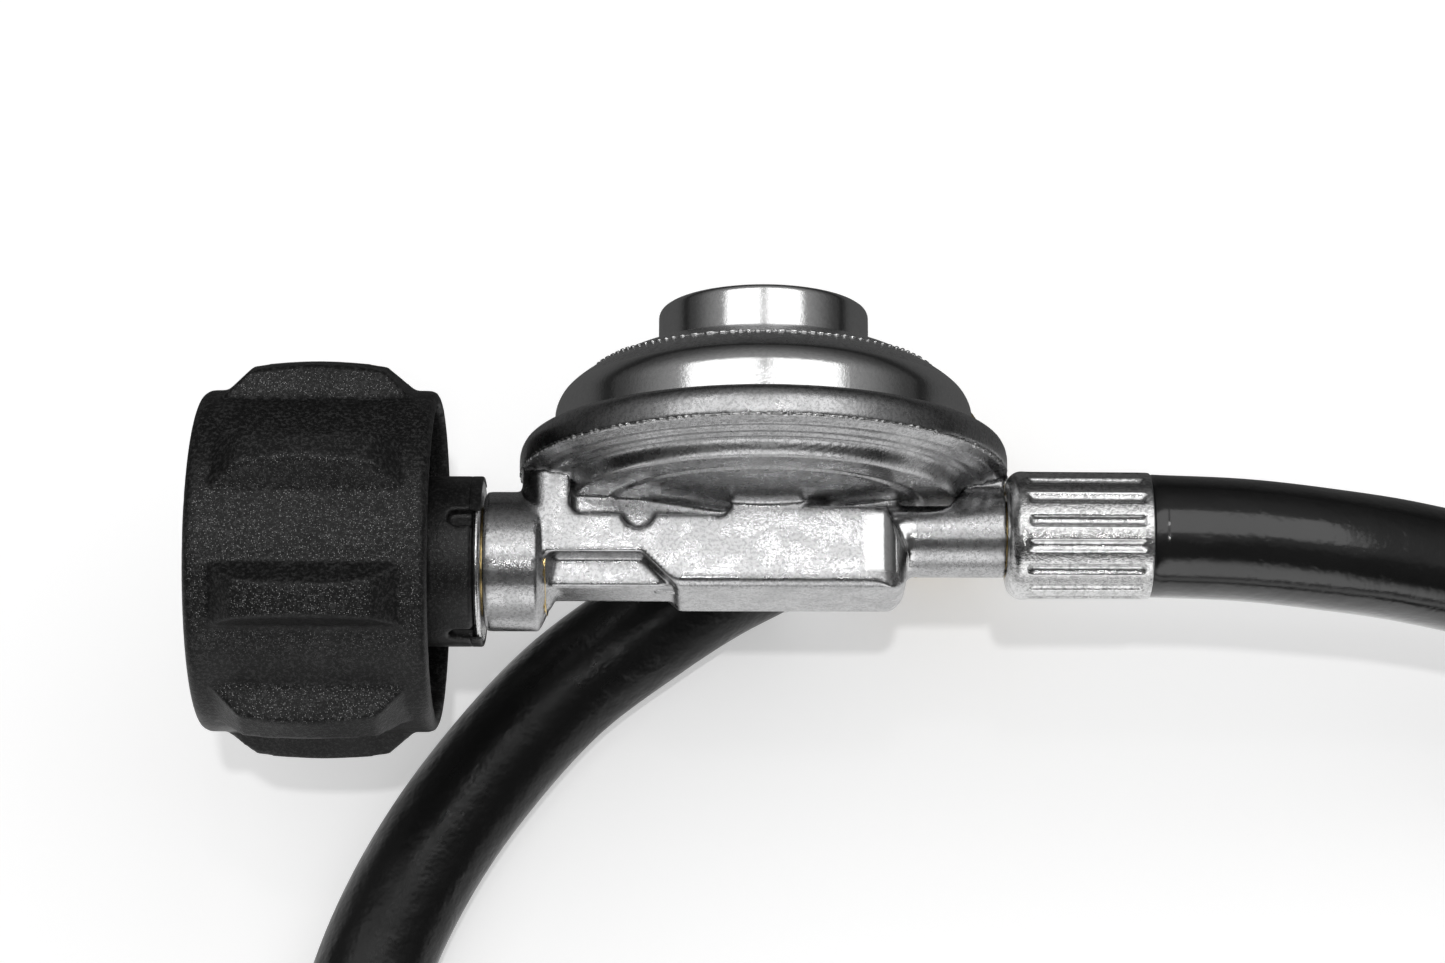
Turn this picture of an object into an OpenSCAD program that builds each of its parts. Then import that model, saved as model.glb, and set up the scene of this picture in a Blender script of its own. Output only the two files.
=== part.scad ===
// Low-pressure propane regulator with its coupling nut, hose and flare end.
// Millimetres. The origin is on the inlet axis, in the middle of the nose's round land.
// +X runs from the tank side to the hose, +Y is the diaphragm axis, and +Z is up.
// The regulator stands on its round edge, over the far end of the hose.

/* [Inlet nipple] */
// Length of the tapered nose in front of the land
nose_cone = 5; // [4:0.5:7]
// Length of the round land that slides into the tank valve
nose_land = 7; // [5:0.5:9]
// Radius of the round land
nose_r = 8.7; // [8:0.1:9.2]
// Radius of the flange that the coupling nut pushes on
flange_r = 12; // [11.5:0.1:13]
// Thickness of that flange
flange_t = 2.6; // [2:0.2:3.2]
// Radius of the shank behind the flange
shank_r = 7; // [6.4:0.1:7.4]
// Depth of the shank in the regulator body
shank_seat = 8; // [6:0.5:8.4]

/* [Coupling nut] */
// Radius of the nut's round shell
nut_r = 22; // [21.6:0.1:24]
// Overall length of the nut
nut_len = 30.3; // [29:0.1:34]
// How far the nut's mouth stands in front of the nose
nut_mouth = 3; // [1:0.5:6]
// Radius of the threaded socket
socket_r = 15.5; // [14.5:0.1:16.5]
// Wall of the shell round the back recess
shell_t = 1.9; // [1.5:0.1:2.6]
// Thickness of the web that pushes on the bushing
web_t = 3; // [2:0.2:4]
// Number of grip lobes
lobe_count = 8; // [6:1:10]
// Height of a grip lobe over the shell
lobe_h = 3.8; // [2.5:0.1:5]
// Width of a grip lobe at its crown
lobe_w = 4.4; // [3:0.2:7]
// Turn of the nut on its thread at rest, in degrees
nut_turn = 24; // [0:1:45]
// Length of a grip lobe at its foot
lobe_len = 23.6; // [18:0.2:26]

/* [Thermal bushing] */
// Radius of the bushing's sleeve
bushing_r = 11; // [10.2:0.1:11.6]
// Thickness of the bushing's shoulder
bushing_t = 3; // [2:0.2:4]
// Thickness of the ring that ends the sleeve
end_ring_t = 0.9; // [0.6:0.1:1.6]

/* [Regulator body] */
// Distance from the nose tip to the diaphragm axis
disc_x = 69.1; // [68.6:0.1:72]
// Radius of the round flange
rim_r = 31.6; // [30.9:0.1:34]
// Lower face of the flange, over the inlet axis
rim_low = 10.9; // [10.6:0.1:11.6]
// Thickness of the flange with its rolled lip
rim_t = 4.6; // [4.4:0.1:5.4]
// Radius of the inlet tube
inlet_r = 9; // [8.6:0.1:9.6]
// Length of bare inlet tube between the bushing and the web
inlet_len = 4.8; // [3:0.2:6]
// Half thickness of the raised pad on the web
pad_t = 8.1; // [7.2:0.1:9]
// Half thickness of the web behind the pad
web_half = 4.6; // [4.2:0.1:5.4]
// Radius of the outlet neck
neck_r = 5.5; // [5:0.1:6.4]
// Height of the outlet axis over the inlet axis
outlet_z = 3.7; // [3:0.1:4]

/* [Bonnet] */
// Radius of the bonnet's round wall
bonnet_r = 27.1; // [26.3:0.1:28.2]
// Height of the round wall over the flange
bonnet_h = 5.7; // [5:0.1:8]
// Radius of the spring chimney
chimney_r = 13.7; // [13:0.1:16]
// Rise of the sloping shoulder
shoulder_h = 6.1; // [5:0.1:8]
// Height of the chimney over the shoulder
chimney_h = 6.2; // [5.6:0.1:9]
// Wall of the bonnet
bonnet_t = 1.4; // [1:0.1:2]

/* [Diaphragm] */
// Free travel of the diaphragm stack
stack_travel = 1.5; // [1:0.1:1.6]
// Radius of the diaphragm plate
plate_r = 19; // [15:0.5:21]
// Mean radius of the main spring
spring_r = 7.4; // [6.4:0.1:7.8]
// Wire diameter of the main spring
spring_wire = 1.6; // [1:0.1:2]
// Long arm of the lever, from its pin to the diaphragm axis
lever_reach = 9.3; // [9:0.1:10]
// Short arm of the lever, from its pin up to the valve axis
lever_short = 2.2; // [2:0.1:2.3]

/* [Hose] */
// Outside diameter of the hose
hose_d = 15.9; // [15:0.1:16.4]
// Inside diameter of the hose
hose_bore = 9.5; // [8.8:0.1:10]
// Length of the crimped ferrule
ferrule_len = 18.6; // [16:0.2:24]
// Outside radius of the ferrule
ferrule_r = 8.25; // [8.2:0.05:8.4]
// Number of flutes round a ferrule
flute_count = 16; // [10:1:20]
// Length of the ferrule on the far end
far_ferrule_len = 17; // [16:0.2:20]

/* [Flare end] */
// Width across the flats of the swivel nut
flare_af = 19; // [18.6:0.2:20]
// Length of the swivel nut
flare_len = 16; // [15:0.5:18]
// Radius of the swivel nut's threaded bore
flare_thread_r = 7.2; // [6.8:0.1:7.6]
// Depth of that bore
flare_depth = 10; // [8:0.5:11]

/* [Hidden] */

run_gap = 0.15;     // radial gap of a piece that turns on another
slip = 0.3;         // gap of a loose piece from its neighbour
pin_gap = 0.05;     // radial gap of a pin or a thread
round_fn = 96;
small_fn = 48;

// Stations along the inlet axis, counted from the nose tip.
land_end = nose_cone + nose_land;
flange_end = land_end + flange_t;
bushing_end = flange_end + bushing_t;
web_x = bushing_end + run_gap;
nut_x = -nut_mouth;
nut_end = nut_x + nut_len;
sleeve_end = nut_end + 5.8;
inlet_x = sleeve_end + 0.2;
column_x = inlet_x + inlet_len;
shank_end = inlet_x + shank_seat;
origin_x = nose_cone + nose_land / 2;

// Heights along the diaphragm axis, counted from the inlet axis.
ledge_z = rim_low + 1.3;
sheet_t = 1;
sheet_z = ledge_z + sheet_t;
lip_t = 0.8;
rim_top = rim_low + rim_t;
lip_z = rim_top - lip_t;
lip_r = rim_r - 1.8;
shoulder_z = rim_top + bonnet_h;
chimney_z = shoulder_z + shoulder_h;
bonnet_top = chimney_z + chimney_h;
floor_z = 8;          // floor of the chamber under the diaphragm
web_low = -5.03;      // lower edge of the pad
panel_low = -4.3;     // lower edge of the panel left of the pad

// Valve: the stack lifts the lever's long arm, and its short arm moves the holder to -X.
pivot_x = disc_x - lever_reach;
pivot_z = -lever_short;
pin_r = 0.8;
hub_wall = 0.4;
lever_half = 1.2;
finger_half = 0.6;
slot_half = lever_half + slip;
lever_bar = 1;
lever_leg_x = pivot_x + 5.2;
seat_stroke = stack_travel * lever_short / lever_reach;
seat_gap = seat_stroke + 0.03;
seat_t = 1;
holder_r = 2.4;
holder_len = 6.5;
holder_x = pivot_x - 3.9;
seat_x = holder_x - seat_t;
orifice_r = 3.2;
orifice_nose = 0.9;
orifice_end = seat_x - seat_gap - orifice_nose;
lever_bar_z = 10.2;
post_r = 2.2;
post_z = floor_z + 0.4;
window_h = 2.4;

// Adjuster.
plug_r = 10;
plug_t = 4;
plug_z = bonnet_top - 1 - plug_t;
seat_t2 = 1.2;
seat_top = plug_z - slip;

// Outlet and hose.
neck_end = disc_x + rim_r - 0.5;
barb_r = 4;
root_len = 5.4;    // of the barb, in the neck
way_r = 2;
hose_r = hose_d / 2;
bore_r = hose_bore / 2;
crimp_t = 0.65;
crimp_r = ferrule_r - crimp_t;
ferrule_end = neck_end + 0.1 + ferrule_len;
floor_drop = 50;
hose_sides = 12;
far_lift = 9.5;
far_angle = 22;
far_neck = 1.5;

// Route of the hose, in the part's own frame: out of the outlet ferrule, down to the surface,
// round in one open loop and back under the regulator. The first point is on the ferrule's face.
hose_low = -floor_drop + hose_r;
hose_start = [ferrule_end - origin_x, outlet_z, 0];
hose_route = [
    hose_start,
    [122.5, 3.4, -0.8], [134.0, 2.7, -3.0], [145.5, 1.9, -6.8], [158.0, 0.1, -11.8],
    [169.9, -4.0, -17.4], [180.8, -10.3, -23.2], [190.3, -18.6, -28.6], [198.1, -28.5, -33.4],
    [203.8, -39.7, -37.2], [207.6, -52.2, -40.0], [209.4, -65.7, -41.6], [209.2, -80.0, -42.05],
    [206.6, -94.6, -42.05], [201.7, -108.8, -42.05], [194.5, -122.3, -42.05],
    [185.2, -134.6, -42.05], [174.1, -145.3, -42.05], [161.4, -154.2, -42.05],
    [147.4, -161.0, -42.05], [132.5, -165.6, -42.05], [117.2, -168.0, -42.05],
    [101.7, -168.3, -42.05], [86.2, -166.4, -42.05], [71.3, -162.4, -42.05],
    [57.2, -156.1, -42.05], [44.3, -147.7, -42.05], [32.9, -137.4, -42.05],
    [23.0, -125.6, -42.05], [14.9, -112.6, -42.05], [8.9, -98.6, -42.05], [4.9, -84.0, -42.05],
    [3.8, -69.2, -42.05], [5.4, -55.8, -42.05], [9.4, -43.0, -42.05], [15.8, -30.4, -42.05],
    [24.0, -18.8, -42.05], [33.6, -8.2, -41.9], [45.2, 0.5, -41.0], [53.4, 5.9, -40.6],
    [61.0, 10.0, -40.5]
];
hose_end = hose_route[len(hose_route) - 1];

// ---- helpers -------------------------------------------------------------------------------

// A solid of revolution about the inlet axis, from [x, r] points.
module lathe_x(points, fn = round_fn) {
    rotate([0, 90, 0])
        rotate_extrude($fn = fn)
            polygon([for (p = points) [p[1], p[0]]]);
}

// A round bar along the inlet axis.
module bar_x(from_x, to_x, r, fn = small_fn) {
    translate([from_x, 0, 0])
        rotate([0, 90, 0])
            cylinder(h = to_x - from_x, r = r, $fn = fn);
}

// A solid of revolution about the diaphragm axis, from [r, z] points.
module lathe_disc(points, fn = round_fn) {
    translate([disc_x, 0, 0])
        rotate_extrude($fn = fn)
            polygon(points);
}

// A plate in the plane of the two axes, from [x, z] points, half as thick to each side.
module plate_xz(points, half) {
    rotate([90, 0, 0])
        translate([0, 0, -half])
            linear_extrude(2 * half)
                polygon(points);
}

// Regulator pieces are drawn with the diaphragm axis upright, counted from the nose tip.
// This lays them down so that the axis points to +Y, and moves the origin into the land.
module lie() {
    translate([-origin_x, 0, 0])
        rotate([-90, 0, 0])
            children();
}

// Pieces on the far end are drawn along +X from the hose's end.
module far() {
    translate(hose_end)
        rotate([0, 0, far_angle])
            children();
}

function arc(cx, cy, r, from, to, steps) =
    [for (i = [0:steps]) let(a = from + (to - from) * i / steps) [cx + r * cos(a), cy + r * sin(a)]];

function unit(v) = v / norm(v);

// Triangles of a tube whose rings of n points follow each other.
function tube_faces(rings, n) = concat(
    [[for (j = [n - 1:-1:0]) j]],
    [for (i = [0:rings - 2]) for (j = [0:n - 1])
        [i * n + j, i * n + (j + 1) % n, (i + 1) * n + j]],
    [for (i = [0:rings - 2]) for (j = [0:n - 1])
        [i * n + (j + 1) % n, (i + 1) * n + (j + 1) % n, (i + 1) * n + j]],
    [[for (j = [0:n - 1]) (rings - 1) * n + j]]);

// A closed coil about +Z from z = 0 to z = height, with round wire.
module coil(mean_r, wire_r, height, turns, per_turn, n = 6) {
    rings = round(turns * per_turn);
    points = [for (i = [0:rings]) let(
            a = 360 * i / per_turn,
            out = [cos(a), sin(a), 0],
            z = wire_r + (height - 2 * wire_r) * i / rings)
        for (j = [0:n - 1]) let(b = 360 * j / n)
            out * (mean_r + wire_r * cos(b)) + [0, 0, z + wire_r * sin(b)]];
    polyhedron(points, tube_faces(rings + 1, n), convexity = 10);
}

// ---- regulator -----------------------------------------------------------------------------

bowl = [
    [0, 5.9], [8, 6], [13, 6.9], [15.6, 7.7], [16.3, 8.3], [18.4, 8.8], [19.2, 9.4],
    [20.1, rim_low - 0.5], [21.2, rim_low + 0.1], [22.3, rim_low], [23.4, rim_low - 0.6],
    [26.6, rim_low - 0.7], [26.9, rim_low - 0.4], [rim_r - 2.4, rim_low - 0.4],
    [rim_r - 1.5, rim_low], [rim_r - 0.3, rim_low], [rim_r, rim_low + 0.5],
    [rim_r, rim_low + 2.4], [rim_r - 0.15, rim_top - 1.5], [rim_r - 0.5, rim_top - 0.75],
    [rim_r - 1.1, rim_top - 0.25], [rim_r - 2, rim_top], [0, rim_top]
];

// The room under the diaphragm, and over it the seat of the bonnet with its rolled lip.
chamber = [
    [0, floor_z], [10, floor_z], [16, 9.6], [20.5, ledge_z - 0.6], [21, ledge_z],
    [lip_r, ledge_z], [lip_r, lip_z], [bonnet_r + 0.1, lip_z], [bonnet_r + 0.1, rim_top + 1],
    [0, rim_top + 1]
];

web_end = disc_x + 17.2;
web_top = rim_low + 1;
pad_left = column_x;
tray_left = column_x + 6.3;
bump_x = tray_left + 8.7;
step_x = tray_left + 9.2;
wedge_x = tray_left + 20;
pad_top = 5.6;        // upper edge of the pad's broad part
ledge_top = 8.1;      // where the web's face starts to round into the bowl

// The raised pad: a column at the inlet, a band with a dip, and the broad valve housing.
pad_outline = concat(
    [[pad_left, web_top], [pad_left, -1.6], [pad_left + 4.2, -0.44], [step_x, -0.44],
        [step_x + 4.7, web_low]],
    arc(web_end - 1.2, web_low + 2.4, 2.4, -90, 0, 7),
    [[web_end + 1, 0.2], [web_end - 1.4, pad_top], [wedge_x + 0.6, pad_top], [wedge_x, 4.9],
        [wedge_x - 0.6, 4.4], [wedge_x - 6, 4.6]],
    arc(bump_x, 5.0, 2.3, -10, -170, 8),
    [[tray_left + 0.8, 4.6], [tray_left, 5.4], [tray_left, web_top]]);

// The thinner web behind it, which carries the flange.
core_outline = [
    [column_x, web_top], [column_x, panel_low], [web_end - 1, panel_low],
    [web_end, 2], [web_end, web_top]
];

module regulator_body_solid() {
    // Inlet tube, with its tapered end on the web.
    lathe_x([[inlet_x, 0], [inlet_x, inlet_r - 0.4], [inlet_x + 0.4, inlet_r],
        [column_x + 2.1, inlet_r], [column_x + 4.6, -panel_low], [column_x + 4.6, 0]]);
    plate_xz(core_outline, web_half);
    intersection() {
        plate_xz(pad_outline, pad_t);
        pad_ends();
        pad_edges();
    }
    lathe_disc(bowl);
    bowl_fillet();
    outlet_neck();
    neck_tab();
}

// The outlet neck is roofed and low beside the pad. It grows to its full round at the ferrule.
module outlet_neck() {
    bottom = outlet_z - neck_r - 1;
    intersection() {
        translate([0, 0, outlet_z])
            bar_x(web_end - 4, neck_end, neck_r);
        union() {
            translate([web_end - 5, 0, 0])
                rotate([90, 0, 90])
                    linear_extrude(neck_end - web_end + 5)
                        polygon([[-7, bottom], [7, bottom], [7, 4.3], [3, 6.9], [-3, 6.9], [-7, 4.3]]);
            plate_xz([[neck_end - 10, bottom], [neck_end + 1, bottom], [neck_end + 1, rim_low],
                [neck_end - 4.6, rim_low], [neck_end - 5.1, 9.4], [neck_end - 6.5, 7.4],
                [neck_end - 7.9, 6.1], [neck_end - 10, 5.4]], neck_r + 1);
        }
    }
}

// Joins the outlet neck to the flange. It is narrower towards its top.
module neck_tab() {
    run = [[neck_end - 6, outlet_z], [neck_end, outlet_z], [neck_end, rim_low],
        [neck_end - 4.2, rim_low], [neck_end - 5.1, 9.4], [neck_end - 6, 8.1]];
    section = [[-5, outlet_z], [-4.9, 6.2], [-4.1, 7.6], [-2.6, 8.9], [-1.8, 9.4],
        [-1.6, rim_low + 1], [1.6, rim_low + 1], [1.8, 9.4], [2.6, 8.9], [4.1, 7.6],
        [4.9, 6.2], [5, outlet_z]];
    intersection() {
        plate_xz(run, neck_r);
        translate([web_end - 5, 0, 0])
            rotate([90, 0, 90])
                linear_extrude(neck_end - web_end + 6)
                    polygon(section);
    }
}

// The sloping edge between the web's faces and the bowl, left of the pad.
module bowl_fillet() {
    slope = 3;
    translate([tray_left - 1, 0, 0])
        rotate([90, 0, 90])
            linear_extrude(wedge_x - tray_left - 3)
                polygon([[-web_half - slope, ledge_top + slope], [-web_half, ledge_top],
                    [web_half, ledge_top], [web_half + slope, ledge_top + slope]]);
}

// Rounds the pad's lower edges, seen along the inlet axis.
module pad_edges() {
    r = 1.6;
    outline = concat(
        [[-pad_t, web_top + 1]],
        arc(-pad_t + r, web_low + r, r, 180, 270, 5),
        arc(pad_t - r, web_low + r, r, 270, 360, 5),
        [[pad_t, web_top + 1]]);
    translate([pad_left - 1, 0, 0])
        rotate([90, 0, 90])
            linear_extrude(web_end - pad_left + 6)
                polygon(outline);
}

// Rounds the pad's two upright ends, seen along the diaphragm axis.
module pad_ends() {
    left_r = 4.2;
    right_r = 5.2;
    right_x = web_end + 1.4 - right_r;
    outline = concat(
        arc(pad_left + left_r, -pad_t + left_r, left_r, 180, 270, 6),
        arc(right_x, -pad_t + right_r, right_r, 270, 360, 8),
        arc(right_x, pad_t - right_r, right_r, 0, 90, 8),
        arc(pad_left + left_r, pad_t - left_r, left_r, 90, 180, 6));
    translate([0, 0, web_low - 1])
        linear_extrude(web_top - web_low + 2)
            polygon(outline);
}

module regulator_body() {
    color("silver")
        lie()
            difference() {
                regulator_body_solid();
                lathe_disc(chamber);
                bar_x(inlet_x - 1, shank_end, shank_r);
                bar_x(shank_end - 1, orifice_end, orifice_r);
                bar_x(orifice_end - 1, holder_x + holder_len + 1.5, holder_r + pin_gap);
                // Slot for the lever, open to the chamber.
                translate([pivot_x - 2.2, -slot_half, pivot_z - 1.6])
                    cube([lever_reach + 6.2, 2 * slot_half, floor_z - pivot_z + 2.6]);
                translate([pivot_x, 0, pivot_z])
                    rotate([90, 0, 0])
                        cylinder(h = 2 * web_half - 0.8, r = pin_r, center = true, $fn = small_fn);
                // Way out to the hose.
                translate([0, 0, outlet_z]) {
                    bar_x(disc_x + 2, neck_end + 1, way_r);
                    bar_x(neck_end - root_len, neck_end + 1, barb_r);
                }
            }
}

// The shoulder's profile from the chimney to the wall: shares of its run and of its rise.
shoulder_shape = [[0, 1], [0.27, 0.95], [0.42, 0.82], [0.68, 0.5], [0.84, 0.25], [0.94, 0.04], [1, -0.25]];

module bonnet() {
    flange_z = sheet_z;
    inner = bonnet_r - bonnet_t;
    top_in = shoulder_z - bonnet_t;
    outside = [for (k = [len(shoulder_shape) - 1:-1:0]) let(p = shoulder_shape[k])
        [chimney_r + (bonnet_r - chimney_r) * p[0], shoulder_z + shoulder_h * p[1]]];
    inside = [for (p = shoulder_shape) if (p[0] > 0)
        [chimney_r + (inner - chimney_r) * p[0], top_in + shoulder_h * p[1]]];
    color("gainsboro")
        lie()
            difference() {
                lathe_disc(concat(
                    [[inner, flange_z], [lip_r, flange_z], [lip_r, lip_z], [bonnet_r, lip_z]],
                    outside,
                    [[chimney_r, bonnet_top - 0.6], [chimney_r - 0.6, bonnet_top],
                        [plug_r + pin_gap, bonnet_top], [plug_r + pin_gap, chimney_z - bonnet_t]],
                    inside));
                vent_bore(1.4);
            }
}

// The vent is in the middle of the shoulder, square to its slope, on the hose side.
vent_r = 1.4;
vent_from = shoulder_shape[2];
vent_to = shoulder_shape[3];
vent_run = (vent_to[0] - vent_from[0]) * (bonnet_r - chimney_r);
vent_fall = (vent_from[1] - vent_to[1]) * shoulder_h;
vent_at = (vent_from + vent_to) / 2;

module at_vent() {
    translate([disc_x, 0, shoulder_z + shoulder_h * vent_at[1]])
        rotate([0, 0, 60])
            translate([chimney_r + (bonnet_r - chimney_r) * vent_at[0], 0, 0])
                rotate([0, atan(vent_fall / vent_run), 0])
                    children();
}

module vent_bore(r) {
    at_vent()
        cylinder(h = 8, r = r, center = true, $fn = small_fn);
}

module vent_screen() {
    color("dimgray")
        lie()
            at_vent()
                translate([0, 0, -0.8])
                    cylinder(h = 0.5, r = vent_r, $fn = small_fn);
}

module diaphragm() {
    color("darkslategray")
        lie()
            lathe_disc([
                [post_r, ledge_z + 0.1], [21, ledge_z + 0.1], [21.6, ledge_z], [lip_r, ledge_z],
                [lip_r, sheet_z], [23.6, sheet_z], [22.8, sheet_z + 0.5], [21.6, sheet_z + 0.5],
                [20.8, sheet_z], [post_r, sheet_z]
            ]);
}

module diaphragm_plate() {
    z = sheet_z + 0.02;
    color("lightgray")
        lie()
            lathe_disc([
                [post_r, z], [plate_r, z], [plate_r, z + 1.6], [plate_r - 0.8, z + 1.6],
                [plate_r - 0.8, z + 0.8], [post_r, z + 0.8]
            ]);
}

module backing_washer() {
    z = ledge_z + 0.08;
    color("lightgray")
        lie()
            lathe_disc([[post_r, z - 0.8], [7.5, z - 0.8], [7.5, z], [post_r, z]]);
}

// The post carries the lever's bar in a window, and its head holds plate, sheet and washer.
module diaphragm_post() {
    head_z = sheet_z + 0.82;
    color("goldenrod")
        lie()
            difference() {
                lathe_disc([
                    [0, post_z], [post_r - 0.3, post_z], [post_r, post_z + 0.3], [post_r, head_z],
                    [post_r + 1.4, head_z], [post_r + 1.1, head_z + 1], [0, head_z + 1.2]
                ], small_fn);
                translate([disc_x - post_r - 1, -lever_half - 0.15, lever_bar_z - window_h / 2])
                    cube([2 * post_r + 2, 2 * (lever_half + 0.15), window_h]);
            }
}

module main_spring() {
    low = sheet_z + 0.02 + 0.8 + slip;
    high = seat_top - seat_t2 - slip;
    color("darkgray")
        lie()
            translate([disc_x, 0, low])
                coil(spring_r, spring_wire / 2, high - low, 4.5, 10);
}

module spring_seat() {
    color("lightgray")
        lie()
            lathe_disc([
                [3, seat_top - seat_t2], [plug_r - slip, seat_top - seat_t2],
                [plug_r - slip, seat_top], [3, seat_top]
            ]);
}

module adjusting_plug() {
    socket_af = 8;
    color("dimgray")
        lie()
            difference() {
                lathe_disc([[0, plug_z], [plug_r - 0.5, plug_z], [plug_r, plug_z + 0.5],
                    [plug_r, plug_z + plug_t - 0.5], [plug_r - 0.5, plug_z + plug_t],
                    [0, plug_z + plug_t]]);
                translate([disc_x, 0, plug_z + 1.2])
                    cylinder(h = plug_t, d = socket_af / cos(30), $fn = 6);
            }
}

// ---- valve ---------------------------------------------------------------------------------

module lever() {
    half_bar = lever_bar / 2;
    outline = [
        [pivot_x, pivot_z - half_bar], [lever_leg_x + lever_bar, pivot_z - half_bar],
        [lever_leg_x + lever_bar, lever_bar_z - half_bar], [disc_x + 1.8, lever_bar_z - half_bar],
        [disc_x + 1.8, lever_bar_z + half_bar], [lever_leg_x, lever_bar_z + half_bar],
        [lever_leg_x, pivot_z + half_bar], [pivot_x + half_bar, pivot_z + half_bar],
        [pivot_x + half_bar, 0.5], [pivot_x - half_bar, 0.5], [pivot_x - half_bar, pivot_z]
    ];
    color("silver")
        lie()
            difference() {
                union() {
                    intersection() {
                        plate_xz(outline, lever_half);
                        // The short arm is narrower, to fit the holder's slot.
                        union() {
                            translate([pivot_x + 2.5, -lever_half, -20])
                                cube([40, 2 * lever_half, 60]);
                            translate([pivot_x - 5, -finger_half, -20])
                                cube([10, 2 * finger_half, 60]);
                        }
                    }
                    translate([pivot_x, 0, pivot_z])
                        rotate([90, 0, 0])
                            cylinder(h = 2 * lever_half, r = pin_r + hub_wall, center = true, $fn = small_fn);
                }
                translate([pivot_x, 0, pivot_z])
                    rotate([90, 0, 0])
                        cylinder(h = 10, r = pin_r + pin_gap, center = true, $fn = small_fn);
            }
}

module lever_pin() {
    color("gray")
        lie()
            translate([pivot_x, 0, pivot_z])
                rotate([90, 0, 0])
                    cylinder(h = 2 * web_half - 0.8, r = pin_r, center = true, $fn = small_fn);
}

// The holder slides in its bore. Its tail is cut flat over the lever's hub, and the lever's
// short arm stands in its slot.
module seat_holder() {
    flat_z = -0.7;
    hub_r = pin_r + hub_wall;
    color("goldenrod")
        lie()
            difference() {
                bar_x(holder_x, holder_x + holder_len, holder_r);
                translate([pivot_x - hub_r - slip, -holder_r - 1, -holder_r - 1])
                    cube([holder_len, 2 * (holder_r + 1), holder_r + 1 + flat_z]);
                translate([pivot_x - lever_bar / 2 - slip, -finger_half - slip, -holder_r - 1])
                    cube([lever_bar + 2 * slip + 0.1, 2 * (finger_half + slip), holder_r + 2.1]);
            }
}

module seat_disc() {
    color("black")
        lie()
            bar_x(seat_x, holder_x, holder_r - 0.3);
}

module orifice() {
    color("goldenrod")
        lie()
            lathe_x([
                [shank_end + 0.4, 1.9], [shank_end, 2.3], [shank_end, orifice_r],
                [orifice_end, orifice_r], [orifice_end, 2], [orifice_end + orifice_nose, 1.6],
                [orifice_end + orifice_nose, 1.1], [orifice_end - 3, 1.1], [orifice_end - 4, 1.9]
            ], small_fn);
}

// ---- inlet ---------------------------------------------------------------------------------

tip_r = nose_r - 3.5;
chamber_r = 4.2;
chamber_x = nose_cone;
chamber_end = flange_end + 9;
groove_x = shank_end - 3.4;
groove_w = 2;
ring_wire = 0.9;

module inlet_nipple() {
    color("goldenrod")
        lie()
            lathe_x([
                [0, 2.6], [0, tip_r - 0.3], [0.3, tip_r], [2.4, tip_r], [2.4, nose_r - 1],
                [nose_cone, nose_r], [land_end, nose_r], [land_end, flange_r],
                [flange_end, flange_r], [flange_end, shank_r], [groove_x, shank_r],
                [groove_x, shank_r - 1.4], [groove_x + groove_w, shank_r - 1.4],
                [groove_x + groove_w, shank_r], [shank_end, shank_r], [shank_end, 3],
                [chamber_end, 3], [chamber_end, chamber_r], [chamber_x, chamber_r],
                [chamber_x, 2.6]
            ]);
}

module nose_seal() {
    color("black")
        lie()
            lathe_x(concat([[0.4, tip_r]],
                [for (p = arc(1.4, tip_r + 1.3, 1, 180, 0, 10)) p],
                [[2.4, tip_r]]));
}

module nipple_o_ring() {
    mid = groove_x + groove_w / 2;
    color("black")
        lie()
            lathe_x(arc(mid, shank_r - ring_wire / 2 - 0.25, 0.7, 0, 330, 11), small_fn);
}

module limiter_poppet() {
    x = chamber_x + 0.4;
    color("lightgray")
        lie()
            lathe_x([[x, 0], [x, 1.6], [x + 2, chamber_r - 0.3], [x + 7, chamber_r - 0.3],
                [x + 7, 2.4], [x + 7.4, 2.4], [x + 7.4, 0]], small_fn);
}

module limiter_spring() {
    low = chamber_x + 0.4 + 7.4 + slip;
    high = chamber_end - 1.2 - slip;
    color("darkgray")
        lie()
            translate([low, 0, 0])
                rotate([0, 90, 0])
                    coil(chamber_r - 1.2, 0.4, high - low, 4, 8);
}

module limiter_retainer() {
    color("lightgray")
        lie()
            lathe_x([[chamber_end - 1.2, 1.8], [chamber_end - 1.2, chamber_r],
                [chamber_end, chamber_r], [chamber_end, 1.8]], small_fn);
}

// ---- coupling nut --------------------------------------------------------------------------

hub_r = bushing_r + run_gap;
recess_x = web_x + web_t;
lobe_x = nut_x + (nut_len - lobe_len) / 2;
lobe_slope = 3.2;
camber = 0.8;         // how much lower the crown is at its ends

// One grip lobe, pointing to +Z: a tapered bar with sloping ends.
module lobe() {
    crown = nut_r + lobe_h;
    foot = nut_r - 1;
    intersection() {
        plate_xz(concat([[lobe_x, foot], [lobe_x, nut_r]],
            [for (t = [-1:0.25:1]) [lobe_x + lobe_len / 2 + t * (lobe_len / 2 - lobe_slope),
                crown - camber * t * t]],
            [[lobe_x + lobe_len, nut_r], [lobe_x + lobe_len, foot]]), lobe_w + 4);
        translate([lobe_x - 1, 0, 0])
            rotate([90, 0, 90])
                linear_extrude(lobe_len + 2)
                    polygon([[-lobe_w / 2 - 2, foot], [-lobe_w / 2 - 1.7, nut_r],
                        [-lobe_w / 2, crown - 0.3], [-lobe_w / 2 + 0.4, crown + 0.1],
                        [lobe_w / 2 - 0.4, crown + 0.1], [lobe_w / 2, crown - 0.3],
                        [lobe_w / 2 + 1.7, nut_r], [lobe_w / 2 + 2, foot]]);
    }
}

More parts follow.
